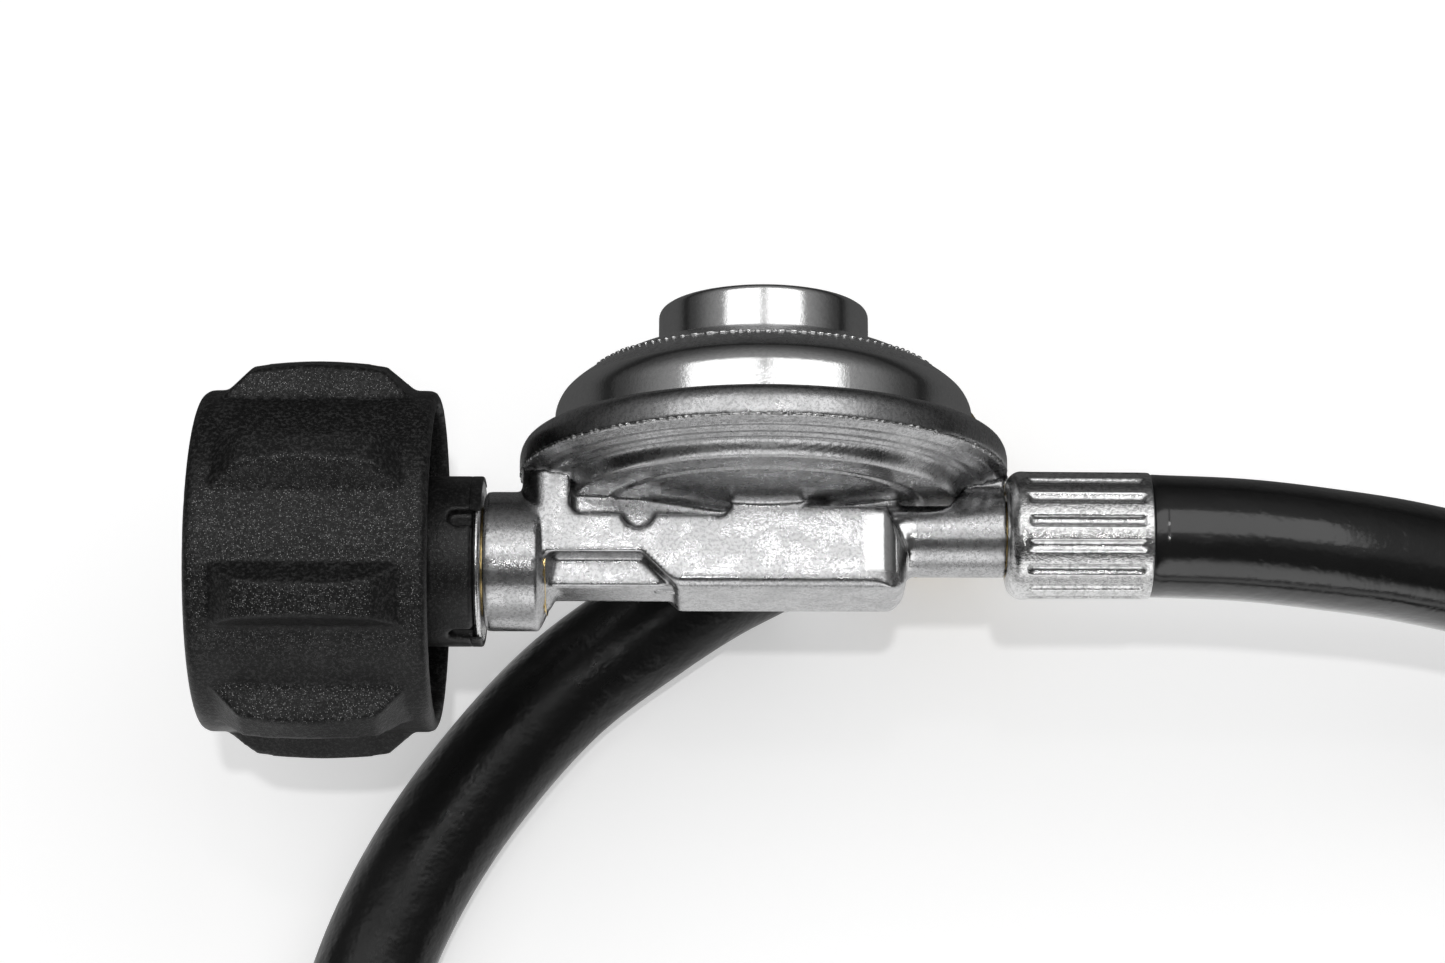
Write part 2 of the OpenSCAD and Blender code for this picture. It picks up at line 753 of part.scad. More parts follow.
module coupling_nut() {
    color("#222222")
        lie() {
            lathe_x([
                [nut_x, socket_r + 1], [nut_x, nut_r - 1.2], [nut_x + 0.4, nut_r - 0.4],
                [nut_x + 1.2, nut_r], [nut_end - 1, nut_r], [nut_end - 0.3, nut_r - 0.3],
                [nut_end, nut_r - 1], [nut_end, nut_r - shell_t], [recess_x, nut_r - shell_t],
                [recess_x, hub_r], [web_x, hub_r], [web_x, socket_r], [nut_x + 1, socket_r]
            ]);
            for (i = [0:lobe_count - 1])
                rotate([nut_turn + 360 / lobe_count * i, 0, 0])
                    lobe();
            // Ribs in the back recess.
            for (i = [0:lobe_count - 1])
                rotate([nut_turn + 360 / lobe_count * (i + 0.5), 0, 0])
                    translate([recess_x - 0.5, -0.5, hub_r + 1.6])
                        cube([nut_end - recess_x - 1.5, 1, nut_r - shell_t / 2 - hub_r - 1.6]);
        }
}

// The bushing melts in a fire and lets the nut slide back, so that the tank valve closes.
module thermal_bushing() {
    ring_x = sleeve_end - end_ring_t;
    notch = 2.3;
    color("#1c1c1c")
        lie()
            difference() {
                lathe_x([
                    [flange_end, shank_r], [flange_end, bushing_r + 2],
                    [bushing_end, bushing_r + 2], [bushing_end, bushing_r],
                    [ring_x - 0.5, bushing_r], [ring_x, bushing_r - 0.5], [ring_x, shank_r]
                ]);
                for (i = [0:3])
                    rotate([72 + 90 * i, 0, 0])
                        translate([ring_x - 2.1, 0, bushing_r - 1.2]) {
                            cylinder(h = 4, d = notch, $fn = 24);
                            translate([0, -notch / 2, 0])
                                cube([4, notch, 4]);
                        }
            }
}

module retaining_ring() {
    x = sleeve_end - end_ring_t;
    color("#1c1c1c")
        lie()
            lathe_x([[x, shank_r], [x, bushing_r - 0.5], [x + end_ring_t / 2, bushing_r],
                [sleeve_end - 0.2, bushing_r - 0.1], [sleeve_end, bushing_r - 0.5],
                [sleeve_end, shank_r]]);
}

// ---- hose and its ends ---------------------------------------------------------------------

// A crimped ferrule along +X from its closed end, with long flutes pressed into it.
module ferrule_solid(len = ferrule_len) {
    flute_r = 1.5;
    sink = 0.4;
    difference() {
        lathe_x([
            [0, bore_r + 0.2], [0, ferrule_r - 0.8], [0.4, ferrule_r - 0.2], [1.1, ferrule_r],
            [len - 0.4, ferrule_r], [len, ferrule_r - 0.3],
            [len, crimp_r], [1.2, crimp_r], [1.2, bore_r + 0.2]
        ]);
        for (i = [0:flute_count - 1])
            rotate([360 / flute_count * i, 0, 0])
                translate([0, 0, ferrule_r + flute_r - sink])
                    bar_x(2.6, len - 1.8, flute_r, 16);
    }
}

// A hose barb along +X: a round root, then three ridges that grip the hose.
module barb_solid(root, root_r) {
    ridge = bore_r + 0.15;
    low = bore_r - 0.35;
    pitch = 4.6;
    first = root + 2;
    lathe_x(concat(
        [[0, barb_r - 1], [0, root_r], [root, root_r], [root, low]],
        [for (i = [0:2]) for (p = [[first + i * pitch, low], [first + i * pitch, ridge],
            [first + (i + 0.9) * pitch, low]]) p],
        [[first + 3 * pitch, barb_r - 1]]), small_fn);
}

module hose_barb() {
    color("goldenrod")
        lie()
            translate([neck_end - root_len, 0, outlet_z])
                barb_solid(root_len + 0.1, barb_r);
}

module outlet_ferrule() {
    color("silver")
        lie()
            translate([neck_end + 0.1, 0, outlet_z])
                ferrule_solid();
}

// The end of the hose inside a ferrule, along +X from x0 to x1, gripped on its barb.
module gripped_end(x0, x1) {
    lathe_x([[x0, bore_r + 0.16], [x0, crimp_r - 0.01], [x1, crimp_r - 0.01], [x1, bore_r + 0.16]],
        small_fn);
}

// A ring of the hose at route point i, square to the run, with a flat side down.
function hose_ring(i) = let(
    last = len(hose_route) - 1,
    run = i == 0 ? [1, 0, 0]
        : i == last ? [cos(far_angle), sin(far_angle), 0]
        : unit(hose_route[i + 1] - hose_route[i - 1]),
    side = unit(cross(run, [0, 0, 1])),
    rise = cross(side, run),
    r = hose_r / cos(180 / hose_sides))
    [for (j = [0:hose_sides - 1]) let(a = 360 * (j + 0.5) / hose_sides)
        hose_route[i] + r * (cos(a) * side + sin(a) * rise)];

module hose() {
    points = [for (i = [0:len(hose_route) - 1]) for (p = hose_ring(i)) p];
    color("#151515") {
        polyhedron(points, tube_faces(len(hose_route), hose_sides), convexity = 10);
        translate([hose_start[0], hose_start[1], 0])
            gripped_end(1.3 - ferrule_len, 0.4);
        far()
            gripped_end(-0.4, far_ferrule_len - 1.3);
    }
}

module far_ferrule() {
    color("silver")
        far()
            translate([far_ferrule_len, 0, 0])
                mirror([1, 0, 0])
                    ferrule_solid(far_ferrule_len);
}

head_room_r = flare_thread_r + 0.3;
head_r = head_room_r - slip;
flare_x = far_ferrule_len + far_neck;
throat_r = bore_r + 0.6;
head_x = flare_x + flare_len - flare_depth - 3;
far_barb_x = far_ferrule_len - 15.4;

// The nipple's barb is in the hose, and its head has the cone that a flare fitting seals on.
module flare_nipple() {
    color("goldenrod")
        far() {
            lathe_x([
                [far_barb_x, barb_r - 1], [far_barb_x, bore_r - 0.3],
                [far_barb_x + 0.4, bore_r + 0.15], [far_ferrule_len, bore_r + 0.15],
                [far_ferrule_len, throat_r - 0.3], [head_x, throat_r - 0.3], [head_x, head_r],
                [head_x + 2.4, head_r], [head_x + 2.4, head_r - 0.4], [head_x, barb_r - 1]
            ], small_fn);
        }
}

module flare_nut() {
    hex_r = flare_af / 2 / cos(30);
    mouth = flare_x + flare_len;
    color("goldenrod")
        far()
            difference() {
                intersection() {
                    translate([flare_x, 0, 0])
                        rotate([0, 90, 0])
                            cylinder(h = flare_len, r = hex_r, $fn = 6);
                    lathe_x([[flare_x, 0], [flare_x, flare_af / 2], [flare_x + 1, hex_r + 0.01],
                        [mouth - 1, hex_r + 0.01], [mouth, flare_af / 2], [mouth, 0]]);
                }
                bar_x(flare_x - 1, mouth, throat_r);
                bar_x(mouth - flare_depth - 3, mouth - flare_depth, head_room_r);
                bar_x(mouth - flare_depth - 1, mouth + 1, flare_thread_r);
            }
}

regulator_body();
bonnet();
vent_screen();
diaphragm();
diaphragm_plate();
diaphragm_post();
backing_washer();
main_spring();
spring_seat();
adjusting_plug();
lever();
lever_pin();
seat_holder();
seat_disc();
orifice();
inlet_nipple();
nose_seal();
nipple_o_ring();
limiter_poppet();
limiter_spring();
limiter_retainer();
coupling_nut();
thermal_bushing();
retaining_ring();
hose_barb();
outlet_ferrule();
hose();
far_ferrule();
flare_nipple();
flare_nut();
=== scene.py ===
"""Looks of a propane regulator with its coupling nut, hose and flare end.

Sizes are in millimetres in the part's own frame, and become metres when a mesh is made.
The origin is on the inlet axis, X runs from the tank side to the hose, Y is the diaphragm
axis and Z is up. Every shape is a grid of points worked out from two parameters, or a
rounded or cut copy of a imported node.
"""

from __future__ import annotations

import logging
import math
import sys
from dataclasses import dataclass, field
from enum import Enum
from typing import ClassVar

import bmesh
import bpy
import numpy as np
from mathutils import Matrix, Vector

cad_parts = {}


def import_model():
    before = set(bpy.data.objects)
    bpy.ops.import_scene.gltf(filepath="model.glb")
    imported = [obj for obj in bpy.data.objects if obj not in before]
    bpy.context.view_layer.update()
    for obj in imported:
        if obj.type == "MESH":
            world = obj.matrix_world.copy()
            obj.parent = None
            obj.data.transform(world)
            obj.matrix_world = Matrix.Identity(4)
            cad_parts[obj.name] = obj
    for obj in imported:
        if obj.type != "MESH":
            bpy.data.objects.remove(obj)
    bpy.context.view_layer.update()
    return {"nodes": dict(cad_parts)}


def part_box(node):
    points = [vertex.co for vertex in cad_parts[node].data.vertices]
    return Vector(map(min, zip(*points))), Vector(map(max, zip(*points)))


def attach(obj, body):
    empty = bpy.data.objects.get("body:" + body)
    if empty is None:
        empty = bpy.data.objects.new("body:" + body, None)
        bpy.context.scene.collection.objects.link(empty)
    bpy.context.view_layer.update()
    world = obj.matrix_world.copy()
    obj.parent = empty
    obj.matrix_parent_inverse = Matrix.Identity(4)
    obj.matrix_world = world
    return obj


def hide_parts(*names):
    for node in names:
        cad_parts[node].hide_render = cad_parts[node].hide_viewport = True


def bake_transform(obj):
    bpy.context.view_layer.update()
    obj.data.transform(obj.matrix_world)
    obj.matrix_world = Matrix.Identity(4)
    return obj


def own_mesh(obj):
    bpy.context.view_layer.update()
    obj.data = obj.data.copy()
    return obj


LOG = logging.getLogger("regulator")
MM = 0.001
FULL_TURN = 2 * math.pi
X_AXIS = np.array([1.0, 0.0, 0.0])
Y_AXIS = np.array([0.0, 1.0, 0.0])
Z_AXIS = np.array([0.0, 0.0, 1.0])

# The most of a side that the rounding of one corner takes up.
EASE_LIMIT = 0.45
# Points nearer than this are one: in a worked-out grid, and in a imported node. In metres.
GRID_MERGE = 2e-7
NODE_MERGE = 1e-6
# How far a point of a rounded copy moves to the mean of its neighbours in one round.
EASE_PULL = 0.5
# Scale of a pattern whose grains are a millimetre wide, and of specks that lie a bit closer.
GRAIN_SCALE = 1000.0
SPECK_SCALE = 1200.0


# ---- shapes ---------------------------------------------------------------------------------


def unit(vectors: np.ndarray) -> np.ndarray:
    """Returns the vectors divided by their lengths."""
    return vectors / np.linalg.norm(vectors, axis=-1, keepdims=True)


def eased(corners: np.ndarray, radius: float, steps: int = 4) -> np.ndarray:
    """Rounds the corners of a closed profile.

    Each corner P between neighbours A and B becomes the curve
    (1 - s)^2 A' + 2 s (1 - s) P + s^2 B', where A' and B' lie on the two sides, a radius
    away from P, or EASE_LIMIT of the side where that is shorter.

    Args:
        corners: The corners, one row each.
        radius: How far from a corner its rounding starts.
        steps: Number of points on each rounding.

    Returns:
        The rounded profile, one row per point.
    """
    before = np.roll(corners, 1, axis=0) - corners
    after = np.roll(corners, -1, axis=0) - corners
    reach_before = np.minimum(radius, EASE_LIMIT * np.linalg.norm(before, axis=1))[:, None]
    reach_after = np.minimum(radius, EASE_LIMIT * np.linalg.norm(after, axis=1))[:, None]
    start = corners + unit(before) * reach_before
    end = corners + unit(after) * reach_after
    share = np.linspace(0, 1, steps)[None, :, None]
    curve = (
        (1 - share) ** 2 * start[:, None]
        + 2 * share * (1 - share) * corners[:, None]
        + share**2 * end[:, None]
    )
    return curve.reshape(-1, corners.shape[1])


def finer(profile: np.ndarray, longest: float) -> np.ndarray:
    """Adds points on the long sides of a closed profile.

    A side from P to Q that is cut in n parts becomes the points P + (Q - P) k / n.

    Args:
        profile: The points, one row each.
        longest: The longest side that is left whole.

    Returns:
        The same line with no side longer than that.
    """
    ends = np.roll(profile, -1, axis=0)
    parts = np.maximum(1, np.ceil(np.linalg.norm(ends - profile, axis=1) / longest)).astype(int)
    owner = np.repeat(np.arange(len(profile)), parts)
    share = (np.arange(len(owner)) - np.repeat(np.cumsum(parts) - parts, parts)) / parts[owner]
    return profile[owner] + (ends - profile)[owner] * share[:, None]


def ring_angles(count: int) -> np.ndarray:
    """Returns that many even angles round a full turn, from 0."""
    return np.arange(count) * FULL_TURN / count


def turned(
    profile: np.ndarray, centre: np.ndarray, axis: np.ndarray, count: int
) -> tuple[np.ndarray, np.ndarray]:
    """Turns a profile about an axis.

    A point is centre + a * axis + r * (cos t * u + sin t * v), where (a, r) is a row of the
    profile, and u and v are square to the axis.

    Args:
        profile: Rows of distance along the axis and radius.
        centre: The point that the distances are counted from.
        axis: The axis's direction.
        count: Number of steps round the axis.

    Returns:
        The grid of points, and the angle of each column.
    """
    axis = unit(np.asarray(axis, float))
    side = unit(np.cross(axis, X_AXIS if abs(axis[0]) < 0.5 else Z_AXIS))
    other = np.cross(axis, side)
    angle = ring_angles(count)
    ring = np.cos(angle)[:, None] * side + np.sin(angle)[:, None] * other
    along = np.asarray(centre, float) + profile[:, :1] * axis
    return along[:, None] + profile[:, 1][:, None, None] * ring[None], angle


def linked(name: str, data: bpy.types.ID) -> bpy.types.Object:
    """Makes an object that is in the scene.

    Args:
        name: Its name.
        data: Its mesh, camera or light.

    Returns:
        The new object.
    """
    thing = bpy.data.objects.new(name, data)
    bpy.context.scene.collection.objects.link(thing)
    return thing


def grid_object(
    name: str,
    points: np.ndarray,
    wrap_rows: bool = True,
    wrap_columns: bool = True,
    values: dict[str, np.ndarray] | None = None,
    uv: np.ndarray | None = None,
) -> bpy.types.Object:
    """Makes a mesh of quads from a grid of points in millimetres.

    Face (i, j) joins points (i, j), (i, j + 1), (i + 1, j + 1) and (i + 1, j).

    Args:
        name: The piece's name.
        points: The grid, of shape rows, columns, 3.
        wrap_rows: Whether the last row joins the first.
        wrap_columns: Whether the last column joins the first.
        values: Numbers for each point, by attribute name.
        uv: A place on the surface for each point, in metres.

    Returns:
        The new object, with its faces pointing outwards.
    """
    rows, columns = points.shape[:2]
    i = np.arange(rows if wrap_rows else rows - 1)[:, None]
    j = np.arange(columns if wrap_columns else columns - 1)[None]
    i_next, j_next = (i + 1) % rows, (j + 1) % columns
    here, beyond = i * columns, i_next * columns
    corners = [here + j, here + j_next, beyond + j_next, beyond + j]
    faces = np.stack(corners, axis=-1).reshape(-1, 4)
    mesh = bpy.data.meshes.new(name)
    mesh.vertices.add(rows * columns)
    mesh.vertices.foreach_set("co", (points * MM).astype(np.float32).ravel())
    mesh.loops.add(faces.size)
    mesh.loops.foreach_set("vertex_index", faces.astype(np.int32).ravel())
    mesh.polygons.add(len(faces))
    mesh.polygons.foreach_set("loop_start", np.arange(0, faces.size, 4, dtype=np.int32))
    mesh.update(calc_edges=True)
    for key, numbers in (values or {}).items():
        layer = mesh.attributes.new(key, "FLOAT", "POINT")
        layer.data.foreach_set("value", numbers.astype(np.float32).ravel())
    if uv is not None:
        layer = mesh.uv_layers.new(name="UVMap")
        layer.data.foreach_set("uv", uv.reshape(-1, 2)[faces.ravel()].astype(np.float32).ravel())
    piece = linked(name, mesh)
    close_up(mesh)
    return piece


def close_up(mesh: bpy.types.Mesh) -> None:
    """Merges doubled points, closes poles and turns every face outwards.

    Args:
        mesh: The mesh, which changes in place.
    """
    work = bmesh.new()
    work.from_mesh(mesh)
    bmesh.ops.remove_doubles(work, verts=work.verts, dist=GRID_MERGE)
    bmesh.ops.dissolve_degenerate(work, edges=work.edges, dist=GRID_MERGE)
    bmesh.ops.recalc_face_normals(work, faces=work.faces)
    work.to_mesh(mesh)
    work.free()
    mesh.update()


def soften(piece: bpy.types.Object, sharp_degrees: float = 38.0) -> None:
    """Shades a piece smooth, apart from its sharp edges.

    Args:
        piece: The piece.
        sharp_degrees: How far an edge turns to stay sharp.
    """
    polygons = piece.data.polygons
    polygons.foreach_set("use_smooth", np.ones(len(polygons), bool))
    piece.data.set_sharp_from_angle(angle=math.radians(sharp_degrees))


def settle(piece: bpy.types.Object) -> None:
    """Applies a piece's modifiers, so that its mesh is what shows.

    Args:
        piece: The piece.
    """
    graph = bpy.context.evaluated_depsgraph_get()
    mesh = bpy.data.meshes.new_from_object(piece.evaluated_get(graph))
    mesh.name = piece.name
    piece.modifiers.clear()
    piece.data = mesh


def eased_copy(
    name: str, node: bpy.types.Object, cell: float, rounds: int
) -> bpy.types.Object:
    """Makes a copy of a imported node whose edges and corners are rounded, as a mould leaves them.

    The copy's doubles are merged, it is rebuilt on a grid of cells, and each point then moves
    EASE_PULL of the way to the mean of its neighbours, a number of times.

    Args:
        name: The piece's name.
        node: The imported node.
        cell: Size of a cell in millimetres.
        rounds: How many times the points move.

    Returns:
        The new object.
    """
    mesh = node.data.copy()
    mesh.name = name
    mesh.materials.clear()
    piece = linked(name, mesh)
    work = bmesh.new()
    work.from_mesh(mesh)
    bmesh.ops.remove_doubles(work, verts=work.verts, dist=NODE_MERGE)
    work.to_mesh(mesh)
    work.free()
    skin = piece.modifiers.new("skin", "REMESH")
    skin.mode = "VOXEL"
    skin.voxel_size = cell * MM
    skin.use_smooth_shade = True
    ease = piece.modifiers.new("ease", "SMOOTH")
    ease.factor = EASE_PULL
    ease.iterations = rounds
    settle(piece)
    return piece


def points_of(piece: bpy.types.Object) -> np.ndarray:
    """Reads a piece's points.

    Args:
        piece: The piece.

    Returns:
        The points in millimetres, one row each.
    """
    flat = np.empty(len(piece.data.vertices) * 3, np.float32)
    piece.data.vertices.foreach_get("co", flat)
    return flat.reshape(-1, 3).astype(float) / MM


def ripple(angle: np.ndarray, seed: int, waves: tuple[int, int], count: int) -> np.ndarray:
    """Gives an uneven closed line round a ring, between -1 and 1.

    It is the mean of count sines, sin(k t + p), with whole numbers k and phases p drawn from
    a seeded generator.

    Args:
        angle: The angles t.
        seed: Seed of the generator.
        waves: The lowest and highest k.
        count: Number of sines.

    Returns:
        One number for each angle.
    """
    draw = np.random.default_rng(seed)
    turns = draw.integers(waves[0], waves[1], count)[:, None]
    phase = draw.uniform(0, FULL_TURN, count)[:, None]
    total = np.sin(turns * angle[None] + phase).sum(axis=0)
    return total / np.abs(total).max()


# ---- shader nodes ---------------------------------------------------------------------------

Socket = bpy.types.NodeSocket


def put(
    tree: bpy.types.NodeTree,
    kind: str,
    settings: dict[str, object] | None = None,
    inputs: dict[str | int, object] | None = None,
) -> bpy.types.Node:
    """Adds a shader node.

    Args:
        tree: The tree that it goes into.
        kind: The node's type, without the words ShaderNode.
        settings: Its settings by name.
        inputs: Its inputs by name or number: a socket is linked, and anything else is set.

    Returns:
        The new node.
    """
    node = tree.nodes.new("ShaderNode" + kind)
    for key, value in (settings or {}).items():
        setattr(node, key, value)
    for key, value in (inputs or {}).items():
        if isinstance(value, bpy.types.NodeSocket):
            tree.links.new(value, node.inputs[key])
        else:
            node.inputs[key].default_value = value
    return node


def remap(
    tree: bpy.types.NodeTree,
    value: Socket,
    start: float,
    end: float,
    low: float = 0.0,
    high: float = 1.0,
) -> Socket:
    """Runs a value from low at start to high at end, smoothly."""
    inputs = {"Value": value, "From Min": start, "From Max": end, "To Min": low, "To Max": high}
    return put(tree, "MapRange", {"interpolation_type": "SMOOTHSTEP"}, inputs).outputs["Result"]


def arithmetic(
    tree: bpy.types.NodeTree, operation: str, first: object, second: object
) -> Socket:
    """Joins two numbers with a Math node."""
    return put(tree, "Math", {"operation": operation}, {0: first, 1: second}).outputs[0]


def colour_mix(
    tree: bpy.types.NodeTree, share: object, first: object, second: object, how: str = "MIX"
) -> Socket:
    """Mixes two colours, from the first at share 0 to the second at share 1."""
    settings = {"data_type": "RGBA", "blend_type": how}
    return put(tree, "Mix", settings, {0: share, 6: first, 7: second}).outputs[2]


def grey(level: float) -> tuple[float, float, float, float]:
    """Returns a neutral colour."""
    return (level, level, level, 1.0)


class Group(Enum):
    """The effects that several finishes share, by the names of their node groups."""

    GRAIN = "fine_grain"
    MOTTLE = "mottled_tone"
    SPECKLE = "painted_glint_speckle"
    RUBBED = "rubbed_edges"
    STREAK = "long_streaks"
    WEAVE = "crossed_threads"


def start_group(
    group: Group, inputs: dict[str, tuple[str, object]], outputs: dict[str, str]
) -> tuple[bpy.types.NodeTree, bpy.types.Node, bpy.types.Node]:
    """Starts a node group with named inputs and outputs.

    Args:
        group: Which group it is.
        inputs: Socket type and default by input name.
        outputs: Socket type by output name.

    Returns:
        The tree, its input node and its output node.
    """
    tree = bpy.data.node_groups.new(group.value, "ShaderNodeTree")
    for name, (kind, default) in inputs.items():
        socket_type = "NodeSocket" + kind
        socket = tree.interface.new_socket(name=name, in_out="INPUT", socket_type=socket_type)
        if default is not None:
            socket.default_value = default
    for name, kind in outputs.items():
        tree.interface.new_socket(name=name, in_out="OUTPUT", socket_type="NodeSocket" + kind)
    return tree, tree.nodes.new("NodeGroupInput"), tree.nodes.new("NodeGroupOutput")


def build_grain() -> None:
    """Builds the fine grain of cast or moulded skin: two sizes of noise, with a contrast."""
    tree, given, made = start_group(
        Group.GRAIN,
        {"Vector": ("Vector", None), "Scale": ("Float", 3000.0), "Contrast": ("Float", 1.0)},
        {"Height": "Float"},
    )
    coarse_share = 0.37
    vector, scale = given.outputs["Vector"], given.outputs["Scale"]
    inputs = {"Vector": vector, "Scale": scale, "Detail": 2.0, "Roughness": 0.6}
    fine = put(tree, "TexNoise", {}, inputs)
    coarse_scale = arithmetic(tree, "MULTIPLY", scale, coarse_share)
    coarse = put(tree, "TexNoise", {}, {"Vector": vector, "Scale": coarse_scale, "Detail": 1.0})
    both = arithmetic(tree, "ADD", fine.outputs["Fac"], coarse.outputs["Fac"])
    centred = arithmetic(tree, "SUBTRACT", both, 1.0)
    raised = arithmetic(tree, "MULTIPLY", centred, given.outputs["Contrast"])
    height = arithmetic(tree, "ADD", raised, 0.5)
    tree.links.new(height, made.inputs["Height"])


def build_mottle() -> None:
    """Builds a slow change of tone over a few millimetres, from 0 to 1."""
    tree, given, made = start_group(
        Group.MOTTLE, {"Vector": ("Vector", None), "Scale": ("Float", 300.0)}, {"Value": "Float"}
    )
    inputs = {"Vector": given.outputs["Vector"], "Scale": given.outputs["Scale"], "Detail": 4.0}
    noise = put(tree, "TexNoise", {}, {**inputs, "Roughness": 0.62})
    tree.links.new(remap(tree, noise.outputs["Fac"], 0.32, 0.68), made.inputs["Value"])


def build_speckle() -> None:
    """Builds small bright dots, which the finishes paint on as glints: the middles of some cells
    of a Voronoi pattern.
    """
    tree, given, made = start_group(
        Group.SPECKLE,
        {"Vector": ("Vector", None), "Scale": ("Float", 2500.0), "Share": ("Float", 0.2)},
        {"Mask": "Float"},
    )
    inputs = {"Vector": given.outputs["Vector"], "Scale": given.outputs["Scale"]}
    cells = put(tree, "TexVoronoi", {"feature": "F1"}, inputs)
    middle = remap(tree, cells.outputs["Distance"], 0.42, 0.12)
    parts = put(tree, "SeparateColor", {}, {0: cells.outputs["Color"]})
    kept = arithmetic(tree, "LESS_THAN", parts.outputs[0], given.outputs["Share"])
    bright = arithmetic(tree, "MULTIPLY", kept, parts.outputs[1])
    tree.links.new(arithmetic(tree, "MULTIPLY", middle, bright), made.inputs["Mask"])


def build_rubbed() -> None:
    """Builds a broken mask of outward edges, where handling has rubbed a surface."""
    tree, given, made = start_group(
        Group.RUBBED, {"Vector": ("Vector", None)}, {"Mask": "Float"}
    )
    pointed = put(tree, "NewGeometry").outputs["Pointiness"]
    edge = remap(tree, pointed, 0.51, 0.56)
    inputs = {"Vector": given.outputs["Vector"], "Scale": 700.0, "Detail": 3.0}
    noise = put(tree, "TexNoise", {}, inputs)
    broken = remap(tree, noise.outputs["Fac"], 0.35, 0.6, 0.35, 1.0)
    tree.links.new(arithmetic(tree, "MULTIPLY", edge, broken), made.inputs["Mask"])


def build_streak() -> None:
    """Builds long thin streaks: noise on a vector that is squeezed along the run."""
    tree, given, made = start_group(
        Group.STREAK,
        {
            "Vector": ("Vector", None),
            "Squeeze": ("Vector", (1.0, 0.05, 1.0)),
            "Scale": ("Float", 900.0),
        },
        {"Value": "Float"},
    )
    vectors = {0: given.outputs["Vector"], 1: given.outputs["Squeeze"]}
    squeezed = put(tree, "VectorMath", {"operation": "MULTIPLY"}, vectors)
    inputs = {"Vector": squeezed.outputs[0], "Scale": given.outputs["Scale"], "Detail": 3.0}
    noise = put(tree, "TexNoise", {}, inputs)
    tree.links.new(remap(tree, noise.outputs["Fac"], 0.3, 0.7), made.inputs["Value"])


def build_weave() -> None:
    """Builds two sets of threads that cross, one along X and one along Z."""
    tree, given, made = start_group(
        Group.WEAVE, {"Vector": ("Vector", None), "Scale": ("Float", 1200.0)}, {"Height": "Float"}
    )
    inputs = {"Vector": given.outputs["Vector"], "Scale": given.outputs["Scale"]}
    first = put(tree, "TexWave", {"bands_direction": "X"}, inputs)
    second = put(tree, "TexWave", {"bands_direction": "Z"}, inputs)
    both = arithmetic(tree, "MAXIMUM", first.outputs["Fac"], second.outputs["Fac"])
    tree.links.new(both, made.inputs["Height"])


def build_groups() -> None:
    """Builds every shared node group once."""
    build_grain()
    build_mottle()
    build_speckle()
    build_rubbed()
    build_streak()
    build_weave()


def use(
    tree: bpy.types.NodeTree, group: Group, inputs: dict[str, object], output: str
) -> Socket:
    """Places a shared group in a material and returns one of its outputs."""
    node = put(tree, "Group", {"node_tree": bpy.data.node_groups[group.value]}, inputs)
    return node.outputs[output]


def start_material(
    name: str,
) -> tuple[bpy.types.Material, bpy.types.NodeTree, bpy.types.Node, Socket]:
    """Starts a material.

    Args:
        name: The material's name.

    Returns:
        The material, its tree, its Principled node and the Object coordinates.
    """
    material = bpy.data.materials.new(name)
    material.use_nodes = True
    tree = material.node_tree
    tree.nodes.clear()
    shader = put(tree, "BsdfPrincipled")
    out = put(tree, "OutputMaterial")
    tree.links.new(shader.outputs[0], out.inputs["Surface"])
    place = put(tree, "TexCoord").outputs["Object"]
    return material, tree, shader, place


def raise_surface(
    tree: bpy.types.NodeTree,
    shader: bpy.types.Node,
    height: Socket,
    depth: float,
    strength: Socket | float = 1.0,
) -> None:
    """Feeds a height to the shader's normal through a Bump node.

    Args:
        tree: The material's tree.
        shader: The Principled node.
        height: The height, about 0 to 1.
        depth: Millimetres between heights 0 and 1.
        strength: How much of the bump shows.
    """
    bump = put(tree, "Bump", {}, {"Height": height, "Distance": depth * MM, "Strength": strength})
    tree.links.new(bump.outputs["Normal"], shader.inputs["Normal"])


